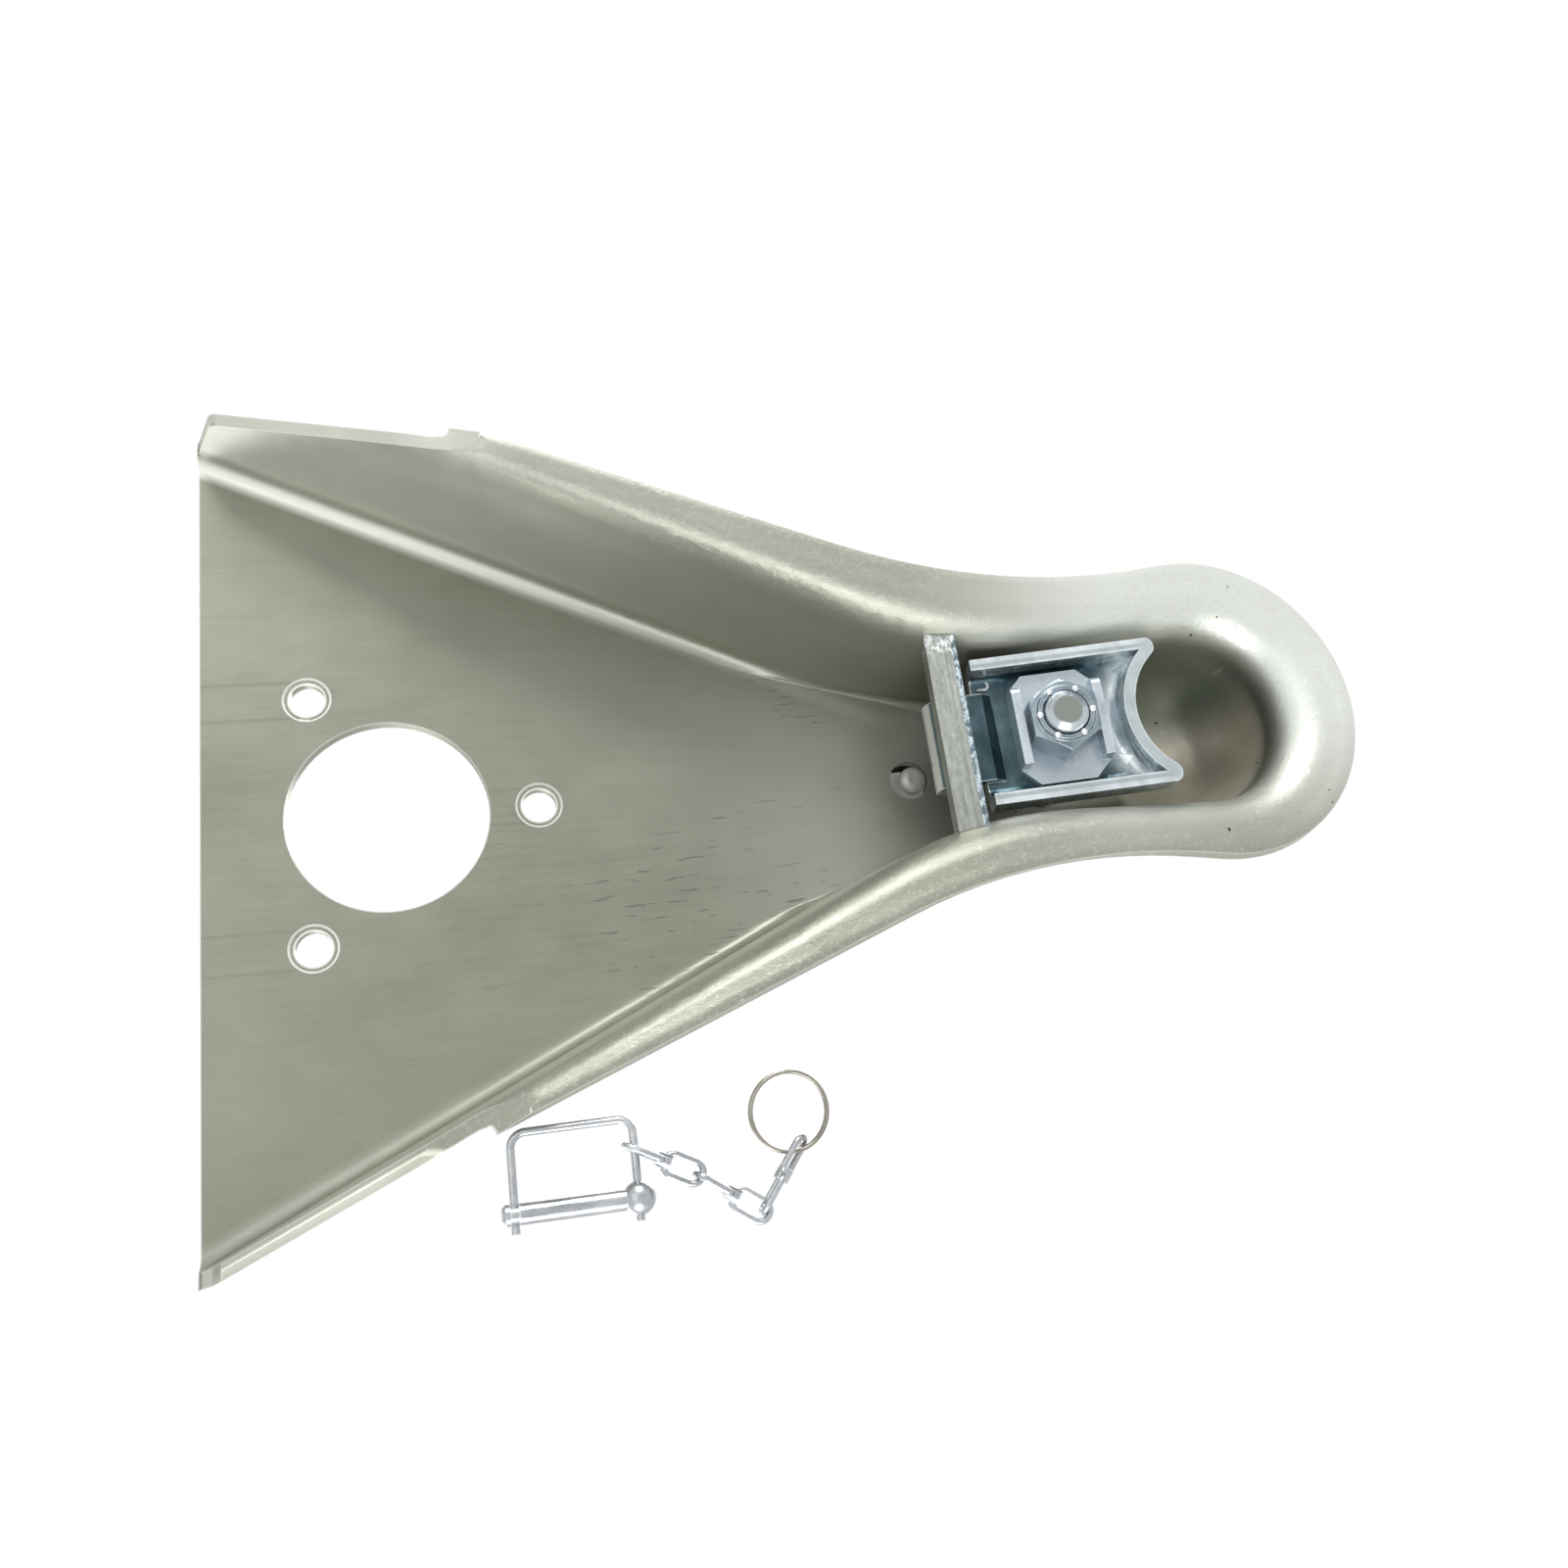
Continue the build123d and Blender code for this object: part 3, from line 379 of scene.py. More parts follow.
@dataclass(frozen=True)
class ZincFinish:
    """Plain zinc plate, used on all the small parts, with its edges brightened as rubbed plate and as a
    painted highlight.
    """

    name: str
    light: Colour
    dark: Colour
    rough: float
    metal: float
    grain: Triple
    grain_depth: float = 0.00002
    spangle: float = 260
    stain: Colour = (0.2, 0.19, 0.17)
    stain_turn: Triple = (20, 30, 50)
    stain_from: Span = (0.6, 0.72)
    stain_share: float = 0.3
    wear_and_highlight: Colour = (0.86, 0.9, 0.92)
    bright_edge_width: float = 0.0006
    bright_edge_from: Span = (0.2, 0.5)
    bright_edge_share: float = 0.8

    def make(self) -> bpy.types.Material:
        """Builds the material."""
        recipe = Recipe(self.name)
        cloud = recipe.noise((self.spangle / 6,) * 3, 3)
        fine = recipe.noise((self.spangle * 8,) * 3, 2)
        streak = recipe.noise(self.grain, 3)
        cells = recipe.add("ShaderNodeTexVoronoi", {"feature": "F1"},
                           {"Vector": recipe.place(), "Scale": self.spangle}, "Color")
        cell = recipe.add("ShaderNodeSeparateColor", None, {0: cells}, "Red")
        tone = recipe.mottle(0.5, (cloud, 0.9), (streak, 0.7), (cell, 0.18), (fine, 0.4))
        colour = recipe.blend(tone, self.dark, self.light)
        stains = recipe.noise((self.spangle / 3,) * 3, 5, self.stain_turn, 0.65).ramp(*self.stain_from)
        colour = recipe.blend(stains * self.stain_share, colour, self.stain)
        # Edges brightened as rubbed plate and as a painted highlight
        wear_and_highlight = recipe.edge_wear_and_highlight(self.bright_edge_width) * cloud.ramp(*self.bright_edge_from) * self.bright_edge_share
        colour = recipe.blend(wear_and_highlight, colour, self.wear_and_highlight)
        rough = recipe.mottle(self.rough, (streak, 0.25), (cloud, 0.3))
        normal = recipe.bump(streak * 0.7 + fine * 0.3, self.grain_depth)
        return recipe.finish(colour, rough, self.metal, normal)


@dataclass(frozen=True)
class PressedFinish:
    """Satin zinc plate of the pressed housing, with the press's and the storage's marks, and with painted
    light and shade on its fold, walls, lips, plate, bolt holes and socket.

    Places are in metres from the ball's centre. Depth is counted down from the plate's underside. A
    span gives the place at which something starts and the place at which it is full.
    """

    name: str = "housing_zinc"
    light: Colour = (0.345, 0.345, 0.285)
    dark: Colour = (0.215, 0.215, 0.17)
    # Painted highlight along the fold
    fold_painted_highlight: Colour = (0.86, 0.87, 0.8)
    # Painted light on the walls, the lips and the plate at the bar
    pale_painted_light: Colour = (0.56, 0.57, 0.5)
    # Painted highlight on the lips
    lip_painted_highlight: Colour = (0.82, 0.86, 0.8)
    # Painted shade on the socket's right half, and worn brown with painted light on its left half
    painted_socket_shading: Colour = (0.22, 0.26, 0.22)
    socket_worn_and_lit: Colour = (0.8, 0.74, 0.62)
    # Painted shade on the socket's ridge
    ridge: Colour = (0.1, 0.11, 0.09)
    speck: Colour = (0.02, 0.02, 0.02)
    # Painted shade on the right wall towards the waist
    wall_painted_shade: Colour = (0.16, 0.165, 0.15)
    mark: Colour = (0.13, 0.13, 0.11)
    edge: Colour = (0.6, 0.58, 0.53)
    # Painted highlights round the bolt holes and on the edges, which are also rubbed
    ring: Colour = (0.8, 0.8, 0.76)
    metal: float = 0.55
    rough: float = 0.4

    # Sizes of the housing
    underside: float = 0.0258
    splay: float = radians(25)
    rear_corner: float = 0.0786
    rear_station: float = -0.2035
    waist_half: float = 0.0233
    socket_reach: float = 0.0285
    jack_x: float = -0.2365
    bolt_circle: float = 0.0429
    bolt_hole: float = 0.0051
    bolt_pad: float = 0.0066
    front_drag: float = 0.0052
    pair_drag: float = 0.0056

    # Zones across, along and down the part
    right_side: Span = (0.01, -0.01)
    under_fold: Span = (0.003, 0.008)
    over_lip: Span = (0.046, 0.036)
    lip_depth: Span = (0.036, 0.047)
    scuff_depth: Span = (0.038, 0.046)
    plate_depth: Span = (0.003, 0.001)
    rear_wall: Span = (-0.1, -0.25)
    waist_wall: Span = (-0.17, -0.08)
    left_wall: Span = (-0.05, -0.12)
    # Painted light on the plate towards the bar
    painted_light_plate: Span = (-0.16, -0.08)
    fold_start: Span = (-0.0062, -0.0030)
    fold_end: Span = (0.0010, -0.0016)
    fold_above: Span = (-0.0030, -0.0010)
    fold_below: Span = (0.006, 0.003)
    behind_bar: Span = (-0.05, -0.1)
    bright_fold: Span = (-0.12, -0.27)
    nose: Span = (-0.09, -0.02)
    nose_side: Span = (0.055, 0.0)
    lip_start: Span = (-0.19, -0.215)
    # Painted shade on the socket's right half, painted light on its left
    socket_shade_side: Span = (-0.016, 0.0)
    socket_front: Span = (0.004, 0.02)
    speckled: Span = (-0.06, -0.04)

    def _outside_fold(self, x: Tone, y: Tone) -> Tone:
        """Distance outside the line where the plate folds down into its flanges.

        Args:
            x: Place along the part.
            y: Place across the part.

        Returns:
            The distance, negative on the plate.
        """
        side = (abs(y) - self.rear_corner + (x - self.rear_station) * tan(self.splay)) * cos(self.splay)
        channel = abs(y) - self.waist_half
        return side.lesser(channel)

    def _marks(self, recipe: Recipe, x: Tone, y: Tone) -> Tone:
        """Short dark dashes that lie along the grain, thickest between the jack hole and the channel.

        Args:
            recipe: The material.
            x: Place along the part.
            y: Place across the part.

        Returns:
            The dashes' mask.
        """
        patches = recipe.noise((16, 24, 24), 2, (0, 0, 12)).ramp(0.47, 0.6)
        dashes = recipe.noise((110, 720, 700), 2, (0, 0, 2)).ramp(0.615, 0.68)
        middle = x.ramp(-0.235, -0.19) * x.ramp(-0.08, -0.12) * abs(y).ramp(0.075, 0.045)
        return dashes * patches * middle

    def _scuffs(self, recipe: Recipe, depth: Tone) -> Tone:
        """Scratches and speckles on the lip, where the part slid in its crate.

        Args:
            recipe: The material.
            depth: Depth below the plate's underside.

        Returns:
            The scratches' mask.
        """
        speckle = recipe.noise((800, 800, 800), 3, (0, 0, 0), 0.7).ramp(0.5, 0.68)
        lines = recipe.noise((1100, 70, 70), 4, (0, 0, 62), 0.7).ramp(0.6, 0.7)
        crossed = recipe.noise((80, 1100, 400), 4, (0, 0, 20), 0.7).ramp(0.62, 0.7)
        return (speckle * 0.7 + lines * 0.5 + crossed * 0.5) * depth.ramp(*self.scuff_depth)

    def _bolt_rings(self, x: Tone, y: Tone) -> tuple[Tone, Tone]:
        """Painted highlights as bright rings round the three bolt holes, and the bands that sliding bolts
        rubbed beside them.

        Args:
            x: Place along the part.
            y: Place across the part.

        Returns:
            The painted highlight rings' mask and the bands' mask.
        """
        front_x = x - (self.jack_x + self.bolt_circle)
        pair_x = x - (self.jack_x - self.bolt_circle / 2)
        pair_y = abs(y) - self.bolt_circle * cos(radians(30))
        ring_highlights = 0.0
        for along, across in ((front_x, y), (pair_x, pair_y)):
            far = (along ** 2 + across ** 2) ** 0.5
            inner = far.ramp(self.bolt_hole + 0.0007, self.bolt_hole + 0.0001)
            ring_highlights = inner + far.near(self.bolt_pad, 0.0001, 0.0005) + ring_highlights
        front_band = abs(y).near(self.front_drag, 0.0002, 0.0009)
        front_band = front_band * front_x.ramp(-0.016, -0.013) * front_x.ramp(0.002, -0.002)
        pair_band = abs(pair_y).near(self.pair_drag, 0.0002, 0.0009) * pair_x.ramp(0.0, -0.006)
        return ring_highlights, front_band + pair_band

    def _right_wall(self, recipe: Recipe, colour: Tone, x: Tone, depth: Tone, wall: Tone) -> Tone:
        """Right wall, with painted light at the rear and painted shade towards the waist, and painted light
        on the plate at the bar.

        Args:
            recipe: The material.
            colour: Colour so far.
            x: Place along the part.
            depth: Depth below the plate's underside.
            wall: Mask of the right wall.

        Returns:
            The new colour.
        """
        colour = recipe.blend(wall * x.ramp(*self.rear_wall) * 0.9 + wall * 0.1, colour, self.pale_painted_light)
        colour = recipe.blend(wall * x.ramp(*self.waist_wall) * 0.1, colour, self.wall_painted_shade)
        plate = depth.ramp(*self.plate_depth) * x.ramp(*self.painted_light_plate)
        return recipe.blend(plate * 0.6, colour, self.pale_painted_light)

    def _fold(self, x: Tone, y: Tone, depth: Tone, right: Tone) -> Tone:
        """Mask of the painted highlight along the fold, strongest on the right at the rear.

        Args:
            x: Place along the part.
            y: Place across the part.
            depth: Depth below the plate's underside.
            right: Mask of the right half.

        Returns:
            The mask.
        """
        outside = self._outside_fold(x, y)
        fold = outside.ramp(*self.fold_start) * outside.ramp(*self.fold_end)
        fold = fold * depth.ramp(*self.fold_above) * depth.ramp(*self.fold_below)
        fold = fold * x.ramp(*self.behind_bar) * (right * 0.8 + 0.15)
        return fold * (x.ramp(*self.bright_fold) * 0.8 + 0.2)

    def _socket(self, recipe: Recipe, colour: Tone, x: Tone, y: Tone, lip: Tone) -> Tone:
        """Socket, with painted shade on its right half, worn brown and painted light on its left, painted
        shade on its ridge, and dark specks.

        Args:
            recipe: The material.
            colour: Colour so far.
            x: Place along the part.
            y: Place across the part.
            lip: Mask of the lip.

        Returns:
            The new colour.
        """
        reach = self.socket_reach
        far = recipe.add("ShaderNodeVectorMath", {"operation": "LENGTH"}, {0: recipe.place()}, "Value")
        inside = far.ramp(reach, reach - 0.0012) * (1 - lip)
        patchy = recipe.noise((60, 60, 60), 4).ramp(0.35, 0.75)
        painted_socket_shading = recipe.blend(y.ramp(*self.socket_shade_side), self.painted_socket_shading, self.socket_worn_and_lit)
        colour = recipe.blend(inside * (0.7 + patchy * 0.25), colour, painted_socket_shading)
        # Painted shade on the ridge towards the nose
        ridge = far.ramp(reach - 0.003, reach) * (1 - lip) * x.ramp(*self.socket_front)
        colour = recipe.blend(ridge * 0.7, colour, self.ridge)
        arcs = recipe.noise((240, 240, 30), 3, (0, 0, 40), 0.6).ramp(0.62, 0.68) * inside
        colour = recipe.blend(arcs * 0.25, colour, self.edge)
        specks = recipe.noise((420, 420, 420), 1, (0, 0, 9)).ramp(0.79, 0.81) * x.ramp(*self.speckled)
        return recipe.blend(specks, colour, self.speck)

    def make(self) -> bpy.types.Material:
        """Builds the material."""
        recipe = Recipe(self.name)
        x, y, z = recipe.axes()
        depth = self.underside - z
        right = y.ramp(*self.right_side)
        lip = depth.ramp(*self.lip_depth)
        cloud = recipe.noise((16, 22, 22), 3)
        blotch = recipe.noise((70, 95, 95), 3)
        streak = recipe.noise((34, 620, 620), 4, (0, 0, 0), 0.6)
        fine = recipe.noise((1500, 1900, 1900), 2)
        tone = recipe.mottle(0.5, (cloud, 0.9), (blotch, 0.45), (streak, 0.4), (fine, 0.5))
        colour = recipe.blend(tone, self.dark, self.light)
        wall = depth.ramp(*self.under_fold) * depth.ramp(*self.over_lip)
        colour = self._right_wall(recipe, colour, x, depth, wall * right)
        # Painted highlight along the fold
        colour = recipe.blend(self._fold(x, y, depth, right), colour, self.fold_painted_highlight)
        # Painted light on the left wall towards the rear
        left_wall = wall * (1 - right) * x.ramp(*self.left_wall)
        colour = recipe.blend(left_wall * 0.6, colour, self.pale_painted_light)
        # Painted light on the lip, more on the right, and a painted highlight at the nose and on the right at
        # the rear
        colour = recipe.blend(lip * (right * 0.3 + 0.15), colour, self.pale_painted_light)
        lip_highlight = x.ramp(*self.nose) * y.ramp(*self.nose_side) + right * x.ramp(*self.lip_start) * 0.5
        colour = recipe.blend(lip * lip_highlight * 0.85, colour, self.lip_painted_highlight)
        colour = self._socket(recipe, colour, x, y, lip)

        ring_highlights, bands = self._bolt_rings(x, y)
        flat = abs(depth + 0.0002).ramp(0.0012, 0.0008)
        marks = self._marks(recipe, x, y) * flat
        scuffs = self._scuffs(recipe, depth)
        colour = recipe.blend(marks * 0.6 + bands * flat * 0.22, colour, self.mark)
        colour = recipe.blend(scuffs * 0.4, colour, self.edge)
        # Painted highlights on the edges, which are also rubbed, and on the rings round the bolt holes
        wear_and_highlight = recipe.edge_wear_and_highlight(0.0007) * 0.6 + ring_highlights * flat * 0.8
        colour = recipe.blend(wear_and_highlight, colour, self.ring)
        rough = recipe.mottle(self.rough, (streak, 0.2), (blotch, 0.2)) + marks * 0.15
        grain = recipe.bump(streak * 0.6 + fine * 0.4, 0.00003)
        normal = recipe.bump(scuffs + marks * 0.4, 0.00004, grain)
        return recipe.finish(colour, rough, self.metal, normal)


@dataclass(frozen=True)
class Tray:
    """Sizes of the clamp's tray in the clamp's own frame, in metres."""

    floor: float = 0.0083
    half: float = 0.0190
    hollow_centre: float = 0.0766
    front: float = 0.0260


TRAY = Tray()


@dataclass(frozen=True)
class ClampFinish:
    """Blue zinc plate of the ball clamp, with painted shade deep in the tray and above the tray's floor, and
    painted highlights on its folded and drawn edges and on the tongue's end.

    Places are in metres in the clamp's own frame.
    """

    name: str = "clamp_zinc"
    # Painted shade in the tray, from deep to teal
    tray_painted_shade: Colour = (0.02, 0.048, 0.06)
    teal: Colour = (0.12, 0.19, 0.21)
    bright: Colour = (0.84, 0.9, 0.93)
    grey: Colour = (0.36, 0.42, 0.43)
    # Painted shade on the clamp above the tray's floor
    back_painted_shade: Colour = (0.1, 0.13, 0.13)
    # Painted highlight on the tongue's end
    pale: Colour = (0.95, 0.97, 0.97)
    metal: float = 0.8
    rough: float = 0.24
    rim: float = 0.0008
    rear: float = 0.0084
    sheet: float = 0.0034
    curl_width: float = 0.011
    tongue_end: Span = (-0.0042, -0.0050)
    spot_along: float = 0.0500
    spot_across: float = 0.0090
    spot_size: Span = (0.0013, 0.0006)

    def _rim(self, across: Tone, up: Tone, inside: Tone, beside: Tone) -> Tone:
        """Mask of the walls' free edges, which show the sheet as two painted highlight lines with a duller
        one between.

        Args:
            across: Place across the wall from its inner face.
            up: Place up the clamp.
            inside: Mask of the tray.
            beside: Mask of what isn't the front edge.

        Returns:
            The mask of what is duller than the painted highlights.
        """
        rim = up.ramp(self.rim + 0.0009, self.rim + 0.0005) * (1 - inside)
        line = across.near(self.sheet * 0.36, 0.0003, 0.0009) + across.ramp(0.0003, 0.0)
        return rim * line * beside * 0.75 + rim * (1 - beside) * 0.5

    def make(self) -> bpy.types.Material:
        """Builds the material."""
        recipe = Recipe(self.name)
        x, y, z = recipe.axes()
        along, up = BAR_FRAME.coordinates(x, z)
        cloud = recipe.noise((60, 60, 60), 3, (20, 0, 40))
        ripple = recipe.noise((260, 150, 260), 3, (0, 0, 15))
        fine = recipe.noise((2000, 2000, 2000), 2)
        tone = recipe.mottle(0.0, (cloud, 1.3), (ripple, 1.0), (fine, 0.3))
        outer = recipe.blend(tone + 0.55, self.grey, self.bright)
        front = ((along - TRAY.hollow_centre) ** 2 + y ** 2) ** 0.5
        edge = TRAY.front

        # The tray is painted deep blue as shade at its rear, and paler as a painted highlight where its floor
        # curls up to the front edge, more so towards +y
        curl = front.ramp(edge + self.curl_width, edge + 0.001)
        tray = recipe.blend(tone + 0.3 + curl * 0.75, self.tray_painted_shade, self.teal)
        tray = recipe.blend(curl * curl * 0.9 + y.ramp(0.004, 0.02) * curl * 0.4, tray, outer)
        inside = up.ramp(TRAY.floor + 0.0009, TRAY.floor - 0.0001) * up.ramp(0.0016, 0.0050)
        inside = inside * abs(y).ramp(TRAY.half + 0.0002, TRAY.half - 0.0006)
        inside = inside * front.ramp(edge - 0.0002, edge + 0.0012)
        colour = recipe.blend(inside, outer, tray)
        # Painted shade on the clamp above the tray's floor
        behind = up.ramp(TRAY.floor + 0.0006, TRAY.floor + 0.0028)
        behind = behind * along.ramp(self.rear, self.rear + 0.002)
        colour = recipe.blend(behind * 0.6, colour, self.back_painted_shade)

        # Duller lines between painted highlights on the walls' free edges
        beside = front.ramp(edge - 0.001, edge + 0.002)
        rim_between_highlights = self._rim(abs(y) - TRAY.half, up, inside, beside)
        colour = recipe.blend(rim_between_highlights, colour, self.grey)
        spot = ((along - self.spot_along) ** 2 + (y - self.spot_across) ** 2) ** 0.5
        colour = recipe.blend(spot.ramp(*self.spot_size) * inside, colour, self.bright)
        # Painted highlight on the tongue's end
        colour = recipe.blend(along.ramp(*self.tongue_end) * 0.9, colour, self.pale)
        # Edges brightened as rubbed plate and as a painted highlight
        wear_and_highlight = recipe.edge_wear_and_highlight(0.0007) * (0.4 + cloud * 0.8)
        colour = recipe.blend(wear_and_highlight, colour, self.bright)
        rough = recipe.mottle(self.rough, (ripple, 0.35), (cloud, 0.25))
        normal = recipe.bump(ripple * 0.8 + fine * 0.2, 0.00012)
        return recipe.finish(colour, rough, self.metal, normal)


@dataclass(frozen=True)
class BarFinish:
    """Drawn square bar: beige grey with streaks along it, and a bluish mottled strip on its nose side."""

    name: str = "bar_steel"
    light: Colour = (0.48, 0.51, 0.47)
    dark: Colour = (0.2, 0.21, 0.18)
    mottle: Colour = (0.62, 0.7, 0.76)
    bluish: Colour = (0.12, 0.17, 0.2)
    chipped: Colour = (0.85, 0.9, 0.9)
    metal: float = 0.7
    rough: float = 0.36
    half: float = 0.0045
    strip: Span = (0.0019, 0.0014)
    groove: float = 0.0009
    end: float = 0.0255
    chip_reach: Span = (0.0022, 0.0006)

    def make(self) -> bpy.types.Material:
        """Builds the material."""
        recipe = Recipe(self.name)
        x, y, z = recipe.axes()
        along = BAR_FRAME.coordinates(x, z)[0]
        streak = recipe.noise((900, 60, 900), 4, (0, 0, 0), 0.65)
        speck = recipe.noise((1100, 420, 1100), 3, (0, 0, 0), 0.7)
        colour = recipe.blend(recipe.mottle(0.55, (streak, 1.6), (speck, 0.9)), self.dark, self.light)
        colour = recipe.blend(along.near(self.groove, 0.0001, 0.0005) * 0.35, colour, self.dark)
        spots = recipe.noise((900, 500, 900), 3, (0, 0, 0), 0.7).ramp(0.42, 0.62)
        strip = recipe.blend(spots, self.bluish, self.mottle)
        strip_start, strip_full = (self.half - inset for inset in self.strip)
        colour = recipe.blend(along.ramp(strip_start, strip_full), colour, strip)
        chip_start, chip_full = (inset - self.end for inset in self.chip_reach)
        # Chipped ends, and edges brightened as rubbed plate and as a painted highlight
        wear_and_highlight = recipe.edge_wear_and_highlight(0.0005) * 0.5 + y.ramp(chip_start, chip_full) * spots
        colour = recipe.blend(wear_and_highlight, colour, self.chipped)
        rough = recipe.mottle(self.rough, (speck, 0.3))
        normal = recipe.bump(streak * 0.5 + speck * 0.5, 0.00006)
        return recipe.finish(colour, rough, self.metal, normal)


@dataclass(frozen=True)
class FastenerFinish:
    """Blue zinc plate of the bolt, the nut and the pins, with a rolled thread and a sheared tip, painted
    shade in the thread's roots and a painted highlight on the tip's chamfer.

    Places are in metres in the bolt's own frame.
    """

    name: str = "fastener_zinc"
    light: Colour = (0.42, 0.5, 0.55)
    dark: Colour = (0.13, 0.17, 0.21)
    bright: Colour = (0.9, 0.94, 0.96)
    tip_face: Colour = (0.27, 0.29, 0.27)
    metal: float = 0.85
    rough: float = 0.24
    tip_height: float = -0.0141
    tip_radius: float = 0.00415
    chamfer_height: Span = (0.0026, 0.0022)
    crest: float = 0.0064
    root: float = 0.0058
    blur: float = 0.0002
    thread_pitch: float = 0.0018
    thread_end: float = 0.045
    thread_depth: float = 0.0005

    def _thread(self, recipe: Recipe, along: Tone, y: Tone, up: Tone, far: Tone) -> tuple[Tone, Tone]:
        """Helical ridges of the thread.

        Args:
            recipe: The material.
            along: Place along the bolt's frame.
            y: Place across the part.
            up: Place up the bolt.
            far: Distance from the bolt's axis.

        Returns:
            The ridges' height and the mask of the thread.
        """
        turn = recipe.add("ShaderNodeMath", {"operation": "ARCTAN2"}, {0: y, 1: along})
        phase = up * (1 / self.thread_pitch) + turn * (1 / radians(360))
        ridge = recipe.add("ShaderNodeMath", {"operation": "PINGPONG"}, {0: phase, 1: 0.5}) * 2
        threaded = up.ramp(self.thread_end, self.thread_end - 0.001)
        threaded = threaded * far.ramp(self.crest + self.blur, self.crest)
        return ridge, threaded * far.ramp(self.root, self.root + self.blur)

    def make(self) -> bpy.types.Material:
        """Builds the material."""
        recipe = Recipe(self.name)
        x, y, z = recipe.axes()
        along, up = BOLT_FRAME.coordinates(x, z)
        far = (along ** 2 + y ** 2) ** 0.5
        cloud = recipe.noise((150, 150, 150), 3)
        fine = recipe.noise((900, 900, 900), 3)
        colour = recipe.blend(recipe.mottle(0.5, (cloud, 1.4), (fine, 0.5)), self.dark, self.light)
        tip = up.ramp(self.tip_height + 0.0004, self.tip_height + 0.0002)
        tip = tip * far.ramp(self.tip_radius + 0.0002, self.tip_radius - 0.0003)
        colour = recipe.blend(tip, colour, self.tip_face)
        # The chamfer round the tip gets a painted highlight, and the edges are brightened as rubbed plate and
        # as a painted highlight
        chamfer_start, chamfer_full = (self.tip_height + height for height in self.chamfer_height)
        chamfer_highlight = up.ramp(chamfer_start, chamfer_full) * far.ramp(self.tip_radius, self.tip_radius + 0.0003)
        chamfer_highlight = chamfer_highlight * far.ramp(self.crest + 2 * self.blur, self.crest)
        wear_and_highlight = recipe.edge_wear_and_highlight(0.0004) * 0.8 + chamfer_highlight * 0.4
        colour = recipe.blend(wear_and_highlight, colour, self.bright)
        ridge, threaded = self._thread(recipe, along, y, up, far)
        # Painted shade in the thread's roots
        colour = recipe.blend(threaded * (1 - ridge) * 0.6, colour, self.dark)
        grain = recipe.bump(fine, 0.00003)
        normal = recipe.bump(ridge * threaded, self.thread_depth, grain)
        rough = recipe.mottle(self.rough, (cloud, 0.3))
        return recipe.finish(colour, rough, self.metal, normal)


class Shop:
    """The finishes of all parts, by the record's slot."""

    def __init__(self) -> None:
        """Builds each material once."""
        own = (PressedFinish(), ClampFinish(), BarFinish(), FastenerFinish())
        self.by_slot = {finish.name: finish.make() for finish in own}
        plain = (
            ZincFinish("saddle_steel", (0.6, 0.67, 0.72), (0.44, 0.5, 0.55), 0.32, 0.7, (400, 400, 400)),
            ZincFinish("latch_zinc", (0.5, 0.51, 0.47), (0.3, 0.31, 0.28), 0.36, 0.75, (60, 700, 700)),
            ZincFinish("spring_steel", (0.42, 0.4, 0.35), (0.2, 0.18, 0.15), 0.3, 0.9, (500, 500, 500)),
            # The near-white finishes paint highlights on the crimp marks and the tray loop, and paint light
            # on the trigger's nose against the shade of its hole
            ZincFinish("zinc_painted_highlight", (0.95, 0.96, 0.97), (0.8, 0.84, 0.86), 0.3, 0.3, (400, 400, 400)),
            ZincFinish("nose_zinc_painted_light", (0.98, 0.99, 0.98), (0.7, 0.72, 0.7), 0.3, 0.1, (900, 200, 900)),
            ZincFinish("pin_zinc", (0.62, 0.64, 0.66), (0.26, 0.28, 0.3), 0.25, 0.9, (200, 900, 900)),
        )
        for finish in plain:
            self.by_slot[finish.name] = finish.make()


class Edge(Enum):
    """How a part's sharp edges are eased."""

    NONE = 0.0
    WIRE = 0.00004
    FINE = 0.00018
    SHEARED = 0.00045
    ROUNDED = 0.0008


